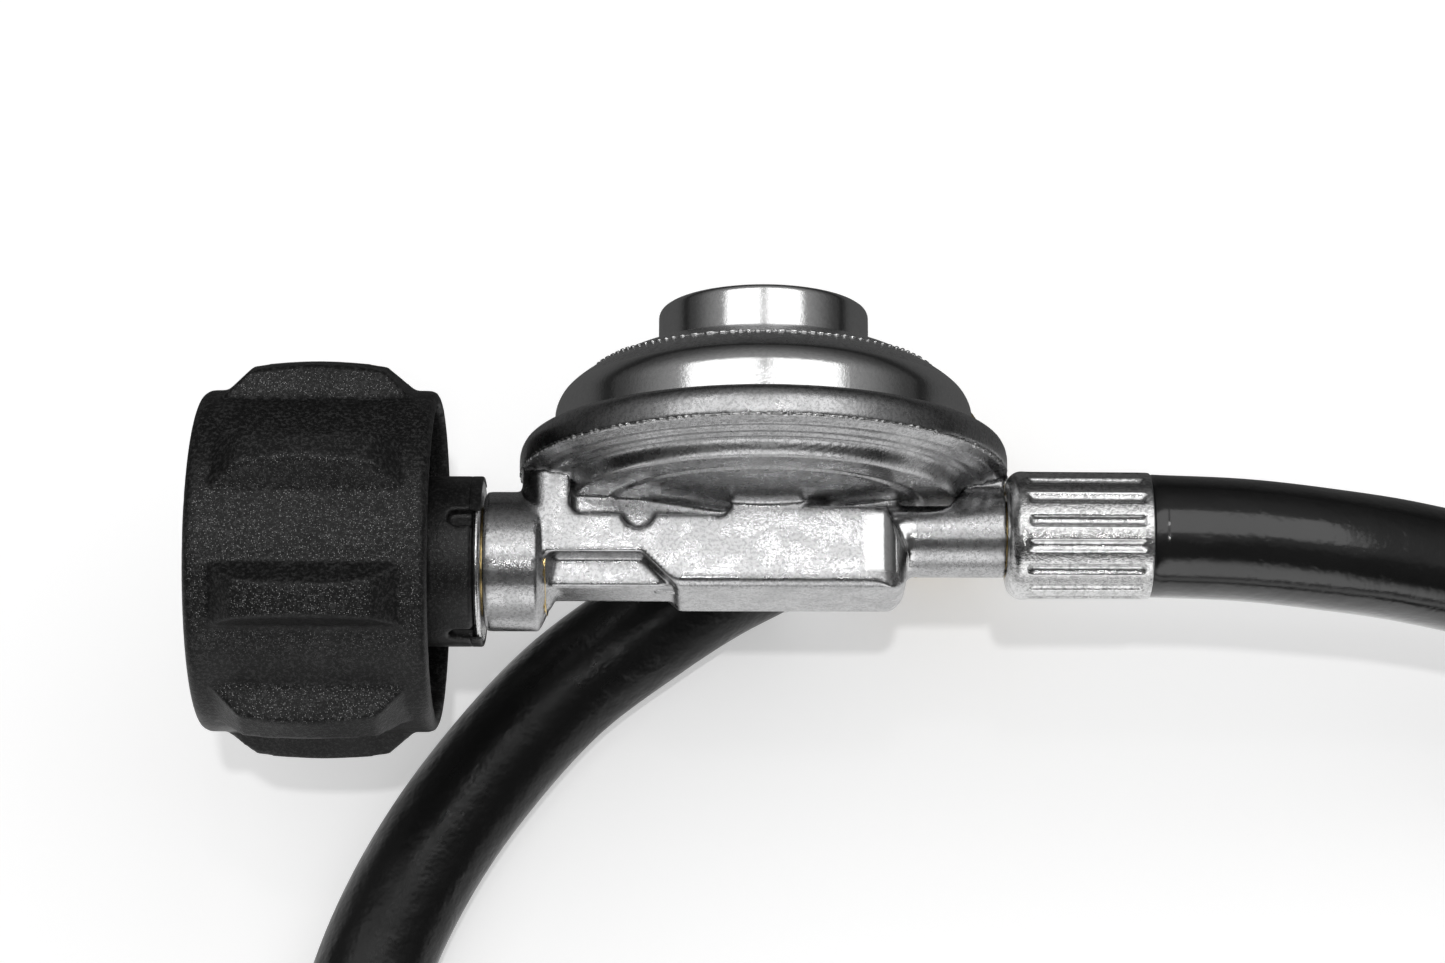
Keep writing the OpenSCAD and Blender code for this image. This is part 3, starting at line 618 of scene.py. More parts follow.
@dataclass(frozen=True)
class MetalFinish:
    """A metal skin: its tone, gloss, grain, rubbed edges, painted shade in the grain's pits and
    painted glints on some grains.

    Attributes:
        name: The material's name.
        colour: Its colour.
        dull: Its colour where the tone is low, as a share of the colour.
        roughness: Roughness where the tone is high.
        rough_more: What is added where the tone is low.
        grain: Size of a grain in millimetres.
        depth: Depth of the grain in millimetres.
        mottle: Size of a patch of tone in millimetres.
        rub: How far rubbed edges turn to the bright tone.
        smooth: The roughness where the attribute polish is 1, or nothing.
        pit_shade: How much darker the pits of the grain are painted, as painted shade.
        spark: Share of the grains that are painted bright, as painted glints.
        contrast: Contrast of the grain.
        pits: The heights of the grain where a pit starts and is deepest.
        pit_share: The colour of a pit's painted shade, as a share of the colour.
        glint_tone: Grey of a painted glint on a grain.
        rub_gain: How much brighter a rubbed edge is.
        polish_share: How far a polished surface turns to the polished grey.
        polish_tone: That grey.
        polish_bump: How much of the grain is left on it.
    """

    name: str
    colour: tuple[float, float, float]
    dull: float
    roughness: float
    rough_more: float
    grain: float
    depth: float
    mottle: float
    rub: float = 0.0
    smooth: float | None = None
    pit_shade: float = 0.2
    spark: float = 0.0
    contrast: ClassVar[float] = 1.5
    pits: ClassVar[tuple[float, float]] = (0.6, 0.25)
    pit_share: ClassVar[float] = 0.3
    glint_tone: ClassVar[float] = 0.95
    rub_gain: ClassVar[float] = 1.18
    polish_share: ClassVar[float] = 0.7
    polish_tone: ClassVar[float] = 0.86
    polish_bump: ClassVar[float] = 0.45

    def shade(self, share: float) -> tuple[float, float, float, float]:
        """Returns the colour times a share, no brighter than a painted glint."""
        return (*(min(self.glint_tone, share * c) for c in self.colour), 1.0)

    def material(self) -> bpy.types.Material:
        """Builds the material: toned skin, pits darkened as painted shade, grains brightened as
        painted glints, rubbed and polished parts.

        Returns:
            The finished material.
        """
        material, tree, shader, place = start_material(self.name)
        shader.inputs["Metallic"].default_value = 1.0
        scale = GRAIN_SCALE / self.mottle
        tone = use(tree, Group.MOTTLE, {"Vector": place, "Scale": scale}, "Value")
        scale = GRAIN_SCALE / self.grain
        inputs = {"Vector": place, "Scale": scale, "Contrast": self.contrast}
        height = use(tree, Group.GRAIN, inputs, "Height")
        colour = colour_mix(tree, tone, self.shade(self.dull), self.shade(1.0))
        rough = remap(tree, tone, 0.0, 1.0, self.roughness + self.rough_more, self.roughness)
        # Painted shade: the low parts of the grain are darkened in the colour.
        pit = remap(tree, height, *self.pits, 0.0, self.pit_shade)
        colour = colour_mix(tree, pit, colour, self.shade(self.pit_share))
        # Painted glints: some grains are made bright in the colour.
        if self.spark:
            scale = SPECK_SCALE / self.grain
            inputs = {"Vector": place, "Scale": scale, "Share": self.spark}
            speck = use(tree, Group.SPECKLE, inputs, "Mask")
            colour = colour_mix(tree, speck, colour, grey(self.glint_tone))
        if self.rub:
            edge = use(tree, Group.RUBBED, {"Vector": place}, "Mask")
            share = arithmetic(tree, "MULTIPLY", edge, self.rub)
            colour = colour_mix(tree, share, colour, self.shade(self.rub_gain))
        strength: Socket | float = 1.0
        if self.smooth is not None:
            polish = put(tree, "Attribute", {"attribute_name": "polish"}).outputs["Fac"]
            keep = arithmetic(tree, "SUBTRACT", 1.0, polish)
            kept = arithmetic(tree, "MULTIPLY", rough, keep)
            gloss = arithmetic(tree, "MULTIPLY", polish, self.smooth)
            rough = arithmetic(tree, "ADD", kept, gloss)
            clean = arithmetic(tree, "MULTIPLY", polish, self.polish_share)
            colour = colour_mix(tree, clean, colour, grey(self.polish_tone))
            strength = remap(tree, polish, 0.0, 1.0, 1.0, self.polish_bump)
        tree.links.new(colour, shader.inputs["Base Color"])
        tree.links.new(rough, shader.inputs["Roughness"])
        raise_surface(tree, shader, height, self.depth, strength)
        return material


@dataclass(frozen=True)
class PlasticFinish:
    """A moulded skin of black plastic with a fine grain, and bright specks painted on as glints
    where it faces the lamps.

    Attributes:
        name: The material's name.
        tone: Its grey.
        roughness: Its roughness.
        grain: Size of a grain in millimetres.
        depth: Depth of the grain in millimetres.
        frost: Grey of the tops of the grain.
        glint_grey: Grey of the brightest specks, which are painted glints.
        share: Share of the grains that carry a painted glint.
        shine: Its specular level.
        contrast: Contrast of the grain.
        frosted: The heights of the grain where the frost starts and is full.
        patches: Scale of its slow change of tone.
        tones: Its greys where that is low and high and on a rubbed edge, as shares of the tone.
        swing: How much rougher and smoother it is where the tone is low and high.
        lit_side: The side of the piece that faces up to the lamps, where the painted glints lie.
        glint_facing: How squarely a surface faces that side where the painted glints start and are
            all there.
        glint_elsewhere: Share of the painted glints' brightness on its other sides.
        wear: How far a rubbed edge turns to its lighter grey.
    """

    name: str
    tone: float
    roughness: float
    grain: float
    depth: float
    frost: float
    glint_grey: float
    share: float
    shine: float
    contrast: ClassVar[float] = 1.4
    frosted: ClassVar[tuple[float, float]] = (0.45, 0.8)
    patches: ClassVar[float] = 160.0
    tones: ClassVar[tuple[float, float, float]] = (0.75, 1.3, 2.4)
    swing: ClassVar[tuple[float, float]] = (0.06, 0.04)
    lit_side: ClassVar[tuple[float, float, float]] = (0.0, -0.25, 0.97)
    glint_facing: ClassVar[tuple[float, float]] = (0.8, 0.98)
    glint_elsewhere: ClassVar[float] = 0.06
    wear: ClassVar[float] = 0.35

    def material(self) -> bpy.types.Material:
        """Builds the material: black skin, frosted grain, rubbed edges, and bright specks painted
        as glints where it faces the lamps.

        Returns:
            The finished material.
        """
        material, tree, shader, place = start_material(self.name)
        scale = GRAIN_SCALE / self.grain
        inputs = {"Vector": place, "Scale": scale, "Contrast": self.contrast}
        height = use(tree, Group.GRAIN, inputs, "Height")
        inputs = {"Vector": place, "Scale": scale, "Share": self.share}
        speck = use(tree, Group.SPECKLE, inputs, "Mask")
        frost = remap(tree, height, *self.frosted)
        tone = use(tree, Group.MOTTLE, {"Vector": place, "Scale": self.patches}, "Value")
        low, high, light = (grey(self.tone * share) for share in self.tones)
        plain = colour_mix(tree, tone, low, high)
        rubbed = use(tree, Group.RUBBED, {"Vector": place}, "Mask")
        worn = arithmetic(tree, "MULTIPLY", rubbed, self.wear)
        plain = colour_mix(tree, worn, plain, light)
        plain = colour_mix(tree, frost, plain, grey(self.frost))
        # Painted glints: the specks are full only where the skin faces up to the lamps, and dim
        # elsewhere.
        normal = put(tree, "TexCoord").outputs["Normal"]
        vectors = {0: normal, 1: self.lit_side}
        upper = put(tree, "VectorMath", {"operation": "DOT_PRODUCT"}, vectors)
        lies = remap(tree, upper.outputs["Value"], *self.glint_facing, self.glint_elsewhere, 1.0)
        speck = arithmetic(tree, "MULTIPLY", speck, lies)
        colour = colour_mix(tree, speck, plain, grey(self.glint_grey))
        tree.links.new(colour, shader.inputs["Base Color"])
        shader.inputs["Specular IOR Level"].default_value = self.shine
        rougher, smoother = self.roughness + self.swing[0], self.roughness - self.swing[1]
        rough = remap(tree, tone, 0.0, 1.0, rougher, smoother)
        tree.links.new(rough, shader.inputs["Roughness"])
        raise_surface(tree, shader, height, self.depth)
        return material


@dataclass(frozen=True)
class RubberFinish:
    """A rubber skin, smooth or drawn along its length.

    Attributes:
        name: The material's name.
        tone: Its grey.
        roughness: Its roughness.
        grain: Size of its grain in millimetres.
        depth: Depth of its grain in millimetres.
        drawn: Whether streaks follow the piece's own map, as on a drawn hose.
        shine: Its specular level.
        bloom: How much rougher a drawn hose is where its first shine has ended.
        fading: Where along a drawn hose its shine starts to end and has ended, in metres.
        patches: Scale of its slow change of tone.
        tones: Its greys where that is low and high, as shares of the tone.
        swing: How much rougher and smoother it is where the tone is low and high.
        streaks: Scale of the streaks.
        squeeze: How they are drawn out along the hose.
        streak_height: Height of a streak, in heights of a grain.
        streak_rough: How much rougher a streak is.
        waves: Scale of the slow waves of a drawn hose.
        wave_height: Height of a wave, in heights of a grain.
    """

    name: str
    tone: float
    roughness: float
    grain: float
    depth: float
    drawn: bool = False
    shine: float = 0.5
    bloom: float = 0.0
    fading: ClassVar[tuple[float, float]] = (0.1, 0.3)
    patches: ClassVar[float] = 90.0
    tones: ClassVar[tuple[float, float]] = (0.8, 1.3)
    swing: ClassVar[float] = 0.05
    streaks: ClassVar[float] = 420.0
    squeeze: ClassVar[tuple[float, float, float]] = (1.0, 0.03, 1.0)
    streak_height: ClassVar[float] = 0.7
    streak_rough: ClassVar[float] = 0.05
    waves: ClassVar[float] = 110.0
    wave_height: ClassVar[float] = 12.0

    def material(self) -> bpy.types.Material:
        """Builds the material: dark skin with slow waves, and streaks along a drawn hose.

        Returns:
            The finished material.
        """
        material, tree, shader, place = start_material(self.name)
        tone = use(tree, Group.MOTTLE, {"Vector": place, "Scale": self.patches}, "Value")
        scale = GRAIN_SCALE / self.grain
        height = use(tree, Group.GRAIN, {"Vector": place, "Scale": scale}, "Height")
        rougher, smoother = self.roughness + self.swing, self.roughness - self.swing
        rough = remap(tree, tone, 0.0, 1.0, rougher, smoother)
        if self.drawn:
            run = put(tree, "TexCoord").outputs["UV"]
            inputs = {"Vector": run, "Squeeze": self.squeeze, "Scale": self.streaks}
            streak = use(tree, Group.STREAK, inputs, "Value")
            wave = use(tree, Group.MOTTLE, {"Vector": place, "Scale": self.waves}, "Value")
            ridge = arithmetic(tree, "MULTIPLY", streak, self.streak_height)
            height = arithmetic(tree, "ADD", height, ridge)
            swell = arithmetic(tree, "MULTIPLY", wave, self.wave_height)
            height = arithmetic(tree, "ADD", height, swell)
            drag = arithmetic(tree, "MULTIPLY", streak, self.streak_rough)
            rough = arithmetic(tree, "ADD", rough, drag)
            along = put(tree, "SeparateXYZ", {}, {0: run}).outputs["Y"]
            bloom = remap(tree, along, *self.fading, 0.0, self.bloom)
            rough = arithmetic(tree, "ADD", rough, bloom)
            coat = remap(tree, along, *self.fading, 1.0, 0.0)
            tree.links.new(coat, shader.inputs["Coat Weight"])
            shader.inputs["Coat Roughness"].default_value = self.roughness
        shader.inputs["Specular IOR Level"].default_value = self.shine
        low, high = (grey(self.tone * share) for share in self.tones)
        tree.links.new(colour_mix(tree, tone, low, high), shader.inputs["Base Color"])
        tree.links.new(rough, shader.inputs["Roughness"])
        raise_surface(tree, shader, height, self.depth)
        return material


@dataclass(frozen=True)
class ClothFinish:
    """A sheet of fabric in rubber, or a mesh of fine wire.

    Attributes:
        name: The material's name.
        low: Grey between the threads.
        high: Grey on the threads.
        scale: Scale of the weave.
        metallic: How metallic the threads are.
        depth: Depth of the weave in millimetres.
    """

    name: str
    low: float
    high: float
    scale: float
    metallic: float = 0.0
    depth: ClassVar[float] = 0.06

    def material(self) -> bpy.types.Material:
        """Builds the material: lighter and smoother on the threads.

        Returns:
            The finished material.
        """
        material, tree, shader, place = start_material(self.name)
        threads = use(tree, Group.WEAVE, {"Vector": place, "Scale": self.scale}, "Height")
        colour = colour_mix(tree, threads, grey(self.low), grey(self.high))
        tree.links.new(colour, shader.inputs["Base Color"])
        tree.links.new(remap(tree, threads, 0.0, 1.0, 0.8, 0.5), shader.inputs["Roughness"])
        shader.inputs["Metallic"].default_value = self.metallic
        raise_surface(tree, shader, threads, self.depth)
        return material


class Finish(Enum):
    """Every finish on the part."""

    CASTING = MetalFinish(
        "cast_zinc", (0.56, 0.56, 0.565), dull=0.88, roughness=0.23, rough_more=0.08,
        grain=0.15, depth=0.007, mottle=3.0, rub=0.9, smooth=0.1, pit_shade=0.45, spark=0.1,
    )
    ROUGH_CAST = MetalFinish(
        "cast_flash", (0.75, 0.75, 0.75), dull=0.6, roughness=0.2, rough_more=0.2,
        grain=0.35, depth=0.08, mottle=1.2, pit_shade=0.5,
    )
    BONNET = MetalFinish(
        "bright_plate", (0.76, 0.76, 0.765), dull=0.9, roughness=0.24, rough_more=0.06,
        grain=0.19, depth=0.012, mottle=5.0, smooth=0.14, pit_shade=0.35, spark=0.15,
    )
    FERRULE = MetalFinish(
        "ferrule_plate", (0.8, 0.8, 0.8), dull=0.9, roughness=0.16, rough_more=0.07,
        grain=0.21, depth=0.022, mottle=2.0, rub=0.5, pit_shade=0.4, spark=0.3,
    )
    STEEL = MetalFinish(
        "plated_steel", (0.58, 0.58, 0.6), dull=0.85, roughness=0.3, rough_more=0.1,
        grain=0.4, depth=0.006, mottle=3.0,
    )
    SPRING = MetalFinish(
        "spring_wire", (0.5, 0.5, 0.5), dull=0.8, roughness=0.25, rough_more=0.1,
        grain=0.5, depth=0.004, mottle=2.0,
    )
    PLUG = MetalFinish(
        "plug_cast", (0.5, 0.5, 0.5), dull=0.8, roughness=0.35, rough_more=0.1,
        grain=0.3, depth=0.015, mottle=2.5,
    )
    BRASS = MetalFinish(
        "turned_brass", (0.74, 0.56, 0.26), dull=0.85, roughness=0.24, rough_more=0.12,
        grain=0.4, depth=0.006, mottle=4.0, rub=0.6,
    )
    NUT = PlasticFinish(
        "nut_moulding", tone=0.004, roughness=0.4, grain=0.17, depth=0.045, frost=0.03,
        glint_grey=0.5, share=0.45, shine=0.28,
    )
    BUSHING = PlasticFinish(
        "bushing_moulding", tone=0.004, roughness=0.36, grain=0.17, depth=0.03, frost=0.02,
        glint_grey=0.16, share=0.3, shine=0.4,
    )
    HOSE = RubberFinish(
        "hose_skin", tone=0.006, roughness=0.14, grain=1.1, depth=0.012, drawn=True,
        shine=0.3, bloom=0.16,
    )
    SEAL = RubberFinish("seal_skin", tone=0.02, roughness=0.5, grain=0.4, depth=0.01)
    DIAPHRAGM = ClothFinish("coated_fabric", low=0.05, high=0.1, scale=900.0)
    SCREEN = ClothFinish("wire_mesh", low=0.05, high=0.45, scale=2200.0, metallic=0.9)

    def dress(self, piece: bpy.types.Object) -> None:
        """Puts this finish on a piece in place of what it wears.

        Args:
            piece: The piece.
        """
        made = bpy.data.materials.get(self.value.name) or self.value.material()
        piece.data.materials.clear()
        piece.data.materials.append(made)


# ---- the part's own layout ------------------------------------------------------------------


@dataclass(frozen=True)
class Layout:
    """Stations that several pieces share, from the nose tip and the inlet axis.

    Attributes:
        origin_x: From the nose tip to the origin.
        disc_x: To the diaphragm axis.
        rim_r: Radius of the round flange.
        rim_low: Lower face of the flange.
        rim_top: Upper face of the flange.
        neck_end: End of the outlet neck.
        outlet_y: Distance of the outlet axis from the inlet axis.
        ferrule_r: Radius of a ferrule.
        ferrule_length: Length of the ferrule at the outlet.
        ferrule_gap: How far it stays from the neck.
    """

    origin_x: float = 8.5
    disc_x: float = 69.1
    rim_r: float = 31.6
    rim_low: float = 10.9
    rim_top: float = 15.5
    neck_end: float = 100.2
    outlet_y: float = 3.7
    ferrule_r: float = 8.25
    ferrule_length: float = 18.6
    ferrule_gap: float = 0.1

    def inlet(self, station: float = 0.0) -> np.ndarray:
        """Returns a point on the inlet axis."""
        return np.array([station - self.origin_x, 0.0, 0.0])

    def disc(self) -> np.ndarray:
        """Returns the point where the diaphragm axis crosses the inlet axis."""
        return self.inlet(self.disc_x)

    def outlet(self, station: float) -> np.ndarray:
        """Returns a point on the outlet axis."""
        return self.inlet(station) + np.array([0.0, self.outlet_y, 0.0])


@dataclass
class Workshop:
    """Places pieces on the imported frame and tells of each.

    Attributes:
        nodes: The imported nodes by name.
        layout: The shared stations.
    """

    nodes: dict[str, bpy.types.Object]
    layout: Layout = field(default_factory=Layout)

    def fit(
        self, piece: bpy.types.Object, body: str, slot: str, finish: Finish, *stands_for: str
    ) -> None:
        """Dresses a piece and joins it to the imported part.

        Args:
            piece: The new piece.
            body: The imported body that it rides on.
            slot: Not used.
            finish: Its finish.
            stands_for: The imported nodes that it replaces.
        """
        finish.dress(piece)
        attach(piece, body)
        if stands_for:
            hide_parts(*stands_for)
        LOG.info("%s: %d faces", piece.name, len(piece.data.polygons))


# ---- camera, light and floor ----------------------------------------------------------------


def ray_kinds(tree: bpy.types.NodeTree) -> tuple[Socket, Socket]:
    """Tells apart the rays that meet a surface.

    Args:
        tree: The tree that asks.

    Returns:
        1 for rays from mirrors and glass, and 1 for rays from the eye.
    """
    ray = put(tree, "LightPath")
    glossy, through = ray.outputs["Is Glossy Ray"], ray.outputs["Is Transmission Ray"]
    return arithmetic(tree, "MAXIMUM", glossy, through), ray.outputs["Is Camera Ray"]


@dataclass(frozen=True)
class Studio:
    """The camera, two soft panels overhead, three small lamps, the room and a pale floor.

    The room's levels in mirrors follow the direction's own parts, from -1 to 1.

    Attributes:
        eye: Place of the camera.
        look: Direction of its view.
        roll: Its turn about that direction, in degrees.
        lens: Focal length on a sensor 36 wide.
        panel_z: Height of the panels.
        panel_size: Width and depth of a panel.
        panel_gap: Half of the gap between the two.
        panel_y: Middle of the panels.
        panel_watts: Power of each panel.
        lamps: Y, height, size and power of each small lamp, and whether it shows in mirrors.
        plain_level: The room's level on the part.
        room_levels: Its levels in mirrors, low down and overhead.
        overhead: The band in Z between the two.
        dim_band: The band in Y over which it gets dimmer towards its front.
        dim_share: The share that is left there.
        front_band: The band in Y over which its low front side starts to glow.
        front_light: The level of that side.
        floor_z: Height of the floor.
        floor_reach: How far it reaches to each side.
        floor_tone: Its grey.
        floor_lift: What it adds for the eye, so that it is white.
        floor_shine: The same for mirrors.
        floor_middle: The point of the floor that is brightest in mirrors.
        near: How far from it the floor starts to darken in mirrors, and where that ends.
        far_share: The share of the brightness that is left there.
        behind: The band in Y over which the floor behind the part turns dark in mirrors.
        behind_share: The share that is left there.
        dark_tone: The floor's grey in mirrors where it is dark.
        bright_share: Its grey where it is bright, as a share of its own.
    """

    eye: tuple[float, float, float] = (55.3, -109.6, 465.4)
    look: tuple[float, float, float] = (0.0, 0.2504, -0.9681)
    roll: float = 0.2
    lens: float = 92.3
    panel_z: float = 1000.0
    panel_size: tuple[float, float] = (880.0, 900.0)
    panel_gap: float = 45.0
    panel_y: float = 350.0
    panel_watts: float = 2.8
    lamps: tuple[tuple[float, float, float, float, bool], ...] = (
        (-87.0, 995.0, 26.0, 2.3, False),
        (180.0, 985.0, 60.0, 0.25, True),
        (-260.0, 990.0, 60.0, 0.4, True),
    )
    plain_level: float = 0.3
    room_levels: tuple[float, float] = (0.05, 0.3)
    overhead: tuple[float, float] = (0.05, 0.8)
    dim_band: tuple[float, float] = (-0.15, -0.42)
    dim_share: float = 0.25
    front_band: tuple[float, float] = (-0.76, -0.9)
    front_light: float = 1.3
    floor_z: float = -50.0
    floor_reach: float = 3000.0
    floor_tone: float = 0.8
    floor_lift: float = 0.38
    floor_shine: float = 0.55
    floor_middle: tuple[float, float] = (60.0, -150.0)
    near: tuple[float, float] = (220.0, 600.0)
    far_share: float = 0.05
    behind: tuple[float, float] = (0.0, 34.0)
    behind_share: float = 0.08
    dark_tone: float = 0.02
    bright_share: float = 0.5

    def set_camera(self) -> None:
        """Makes the camera and points it."""
        data = bpy.data.cameras.new("camera")
        data.lens = self.lens
        data.sensor_width = 36.0
        data.clip_start = 0.01
        camera = linked("camera", data)
        back = -unit(np.array(self.look))
        right = unit(np.cross(Y_AXIS, back))
        up = np.cross(back, right)
        turn = math.radians(self.roll)
        turned_right = math.cos(turn) * right + math.sin(turn) * up
        turned_up = math.cos(turn) * up - math.sin(turn) * right
        pose = np.eye(4)
        pose[:3, 0], pose[:3, 1], pose[:3, 2] = turned_right, turned_up, back
        pose[:3, 3] = np.array(self.eye) * MM
        camera.matrix_world = Matrix(pose.tolist())
        bpy.context.scene.camera = camera

    def set_world(self) -> None:
        """Sets the world: plain light on the part, a dim room in metal, white to the eye."""
        world = bpy.data.worlds.new("studio")
        bpy.context.scene.world = world
        world.use_nodes = True
        tree = world.node_tree
        tree.nodes.clear()
        direction = put(tree, "TexCoord").outputs["Generated"]
        parts = put(tree, "SeparateXYZ", {}, {0: direction})
        level = remap(tree, parts.outputs["Z"], *self.overhead, *self.room_levels)
        dimmed = remap(tree, parts.outputs["Y"], *self.dim_band, 1.0, self.dim_share)
        level = arithmetic(tree, "MULTIPLY", level, dimmed)
        front = remap(tree, parts.outputs["Y"], *self.front_band, 0.0, self.front_light)
        level = arithmetic(tree, "MAXIMUM", level, front)
        mirrored, by_eye = ray_kinds(tree)
        colour = colour_mix(tree, mirrored, grey(self.plain_level), level)
        colour = colour_mix(tree, by_eye, colour, grey(1.0))
        background = put(tree, "Background", {}, {"Color": colour, "Strength": 1.0})
        out = put(tree, "OutputWorld")
        tree.links.new(background.outputs[0], out.inputs["Surface"])

    def add_panel(
        self,
        name: str,
        centre: tuple[float, float, float],
        size: tuple[float, float],
        watts: float,
        mirrored: bool = True,
    ) -> None:
        """Adds one flat lamp that shines down.

        Args:
            name: Its name.
            centre: Its middle.
            size: Its width and depth.
            watts: Its power.
            mirrored: Whether it shows in mirrors.
        """
        data = bpy.data.lights.new(name, "AREA")
        data.shape = "RECTANGLE"
        data.size, data.size_y = size[0] * MM, size[1] * MM
        data.energy = watts
        lamp = linked(name, data)
        lamp.location = [c * MM for c in centre]
        lamp.visible_glossy = mirrored

    def set_lamps(self, middle: float) -> None:
        """Hangs the two panels and the small lamps over the part.

        Args:
            middle: X of the part's middle.
        """
        reach = self.panel_gap + self.panel_size[0] / 2
        for name, side in (("panel_left", -1), ("panel_right", 1)):
            place = (middle + side * reach, self.panel_y, self.panel_z)
            self.add_panel(name, place, self.panel_size, self.panel_watts)
        for number, (y, height, size, watts, mirrored) in enumerate(self.lamps, 1):
            self.add_panel(f"lamp_{number}", (middle, y, height), (size, size), watts, mirrored)

    def set_floor(self) -> None:
        """Lays the floor: matte and pale, and lifted to white for the eye and for mirrors."""
        across = np.linspace(-self.floor_reach, self.floor_reach, num=25)
        x, y = np.meshgrid(across, across, indexing="ij")
        points = np.stack([x, y, np.full_like(x, self.floor_z)], axis=-1)
        floor = grid_object("floor", points, False, False)
        if floor.data.polygons[0].normal.z < 0:
            floor.data.flip_normals()
        material, tree, shader, place = start_material("pale_floor")
        mirrored, by_eye = ray_kinds(tree)
        vectors = {0: place, 1: tuple(c * MM for c in (*self.floor_middle, self.floor_z))}
        away = put(tree, "VectorMath", {"operation": "DISTANCE"}, vectors).outputs["Value"]
        shine = remap(tree, away, self.near[0] * MM, self.near[1] * MM, 1.0, self.far_share)
        depth = put(tree, "SeparateXYZ", {}, {0: place}).outputs["Y"]
        start, end = (y * MM for y in self.behind)
        side = remap(tree, depth, start, end, 1.0, self.behind_share)
        shine = arithmetic(tree, "MULTIPLY", shine, side)
        tone = use(tree, Group.MOTTLE, {"Vector": place, "Scale": 3.0}, "Value")
        plain = colour_mix(tree, tone, grey(self.floor_tone * 0.99), grey(self.floor_tone))
        bright = grey(self.floor_tone * self.bright_share)
        dim = colour_mix(tree, shine, grey(self.dark_tone), bright)
        colour = colour_mix(tree, mirrored, plain, dim)
        tree.links.new(colour, shader.inputs["Base Color"])
        shader.inputs["Roughness"].default_value = 0.9
        shader.inputs["Specular IOR Level"].default_value = 0.0
        shader.inputs["Emission Color"].default_value = grey(1.0)
        lift = arithmetic(tree, "MULTIPLY", by_eye, self.floor_lift)
        shine = arithmetic(tree, "MULTIPLY", shine, self.floor_shine)
        glow = arithmetic(tree, "MULTIPLY", mirrored, shine)
        tree.links.new(arithmetic(tree, "ADD", lift, glow), shader.inputs["Emission Strength"])
        floor.data.materials.append(material)

    def build(self, middle: float) -> None:
        """Builds the studio round the part.

        Args:
            middle: X of the part's middle.
        """
        bpy.context.scene.view_settings.view_transform = "Standard"
        self.set_camera()
        self.set_world()
        self.set_lamps(middle)
        self.set_floor()
        LOG.info("studio: camera, room, lamps and floor")


# ---- hose -----------------------------------------------------------------------------------


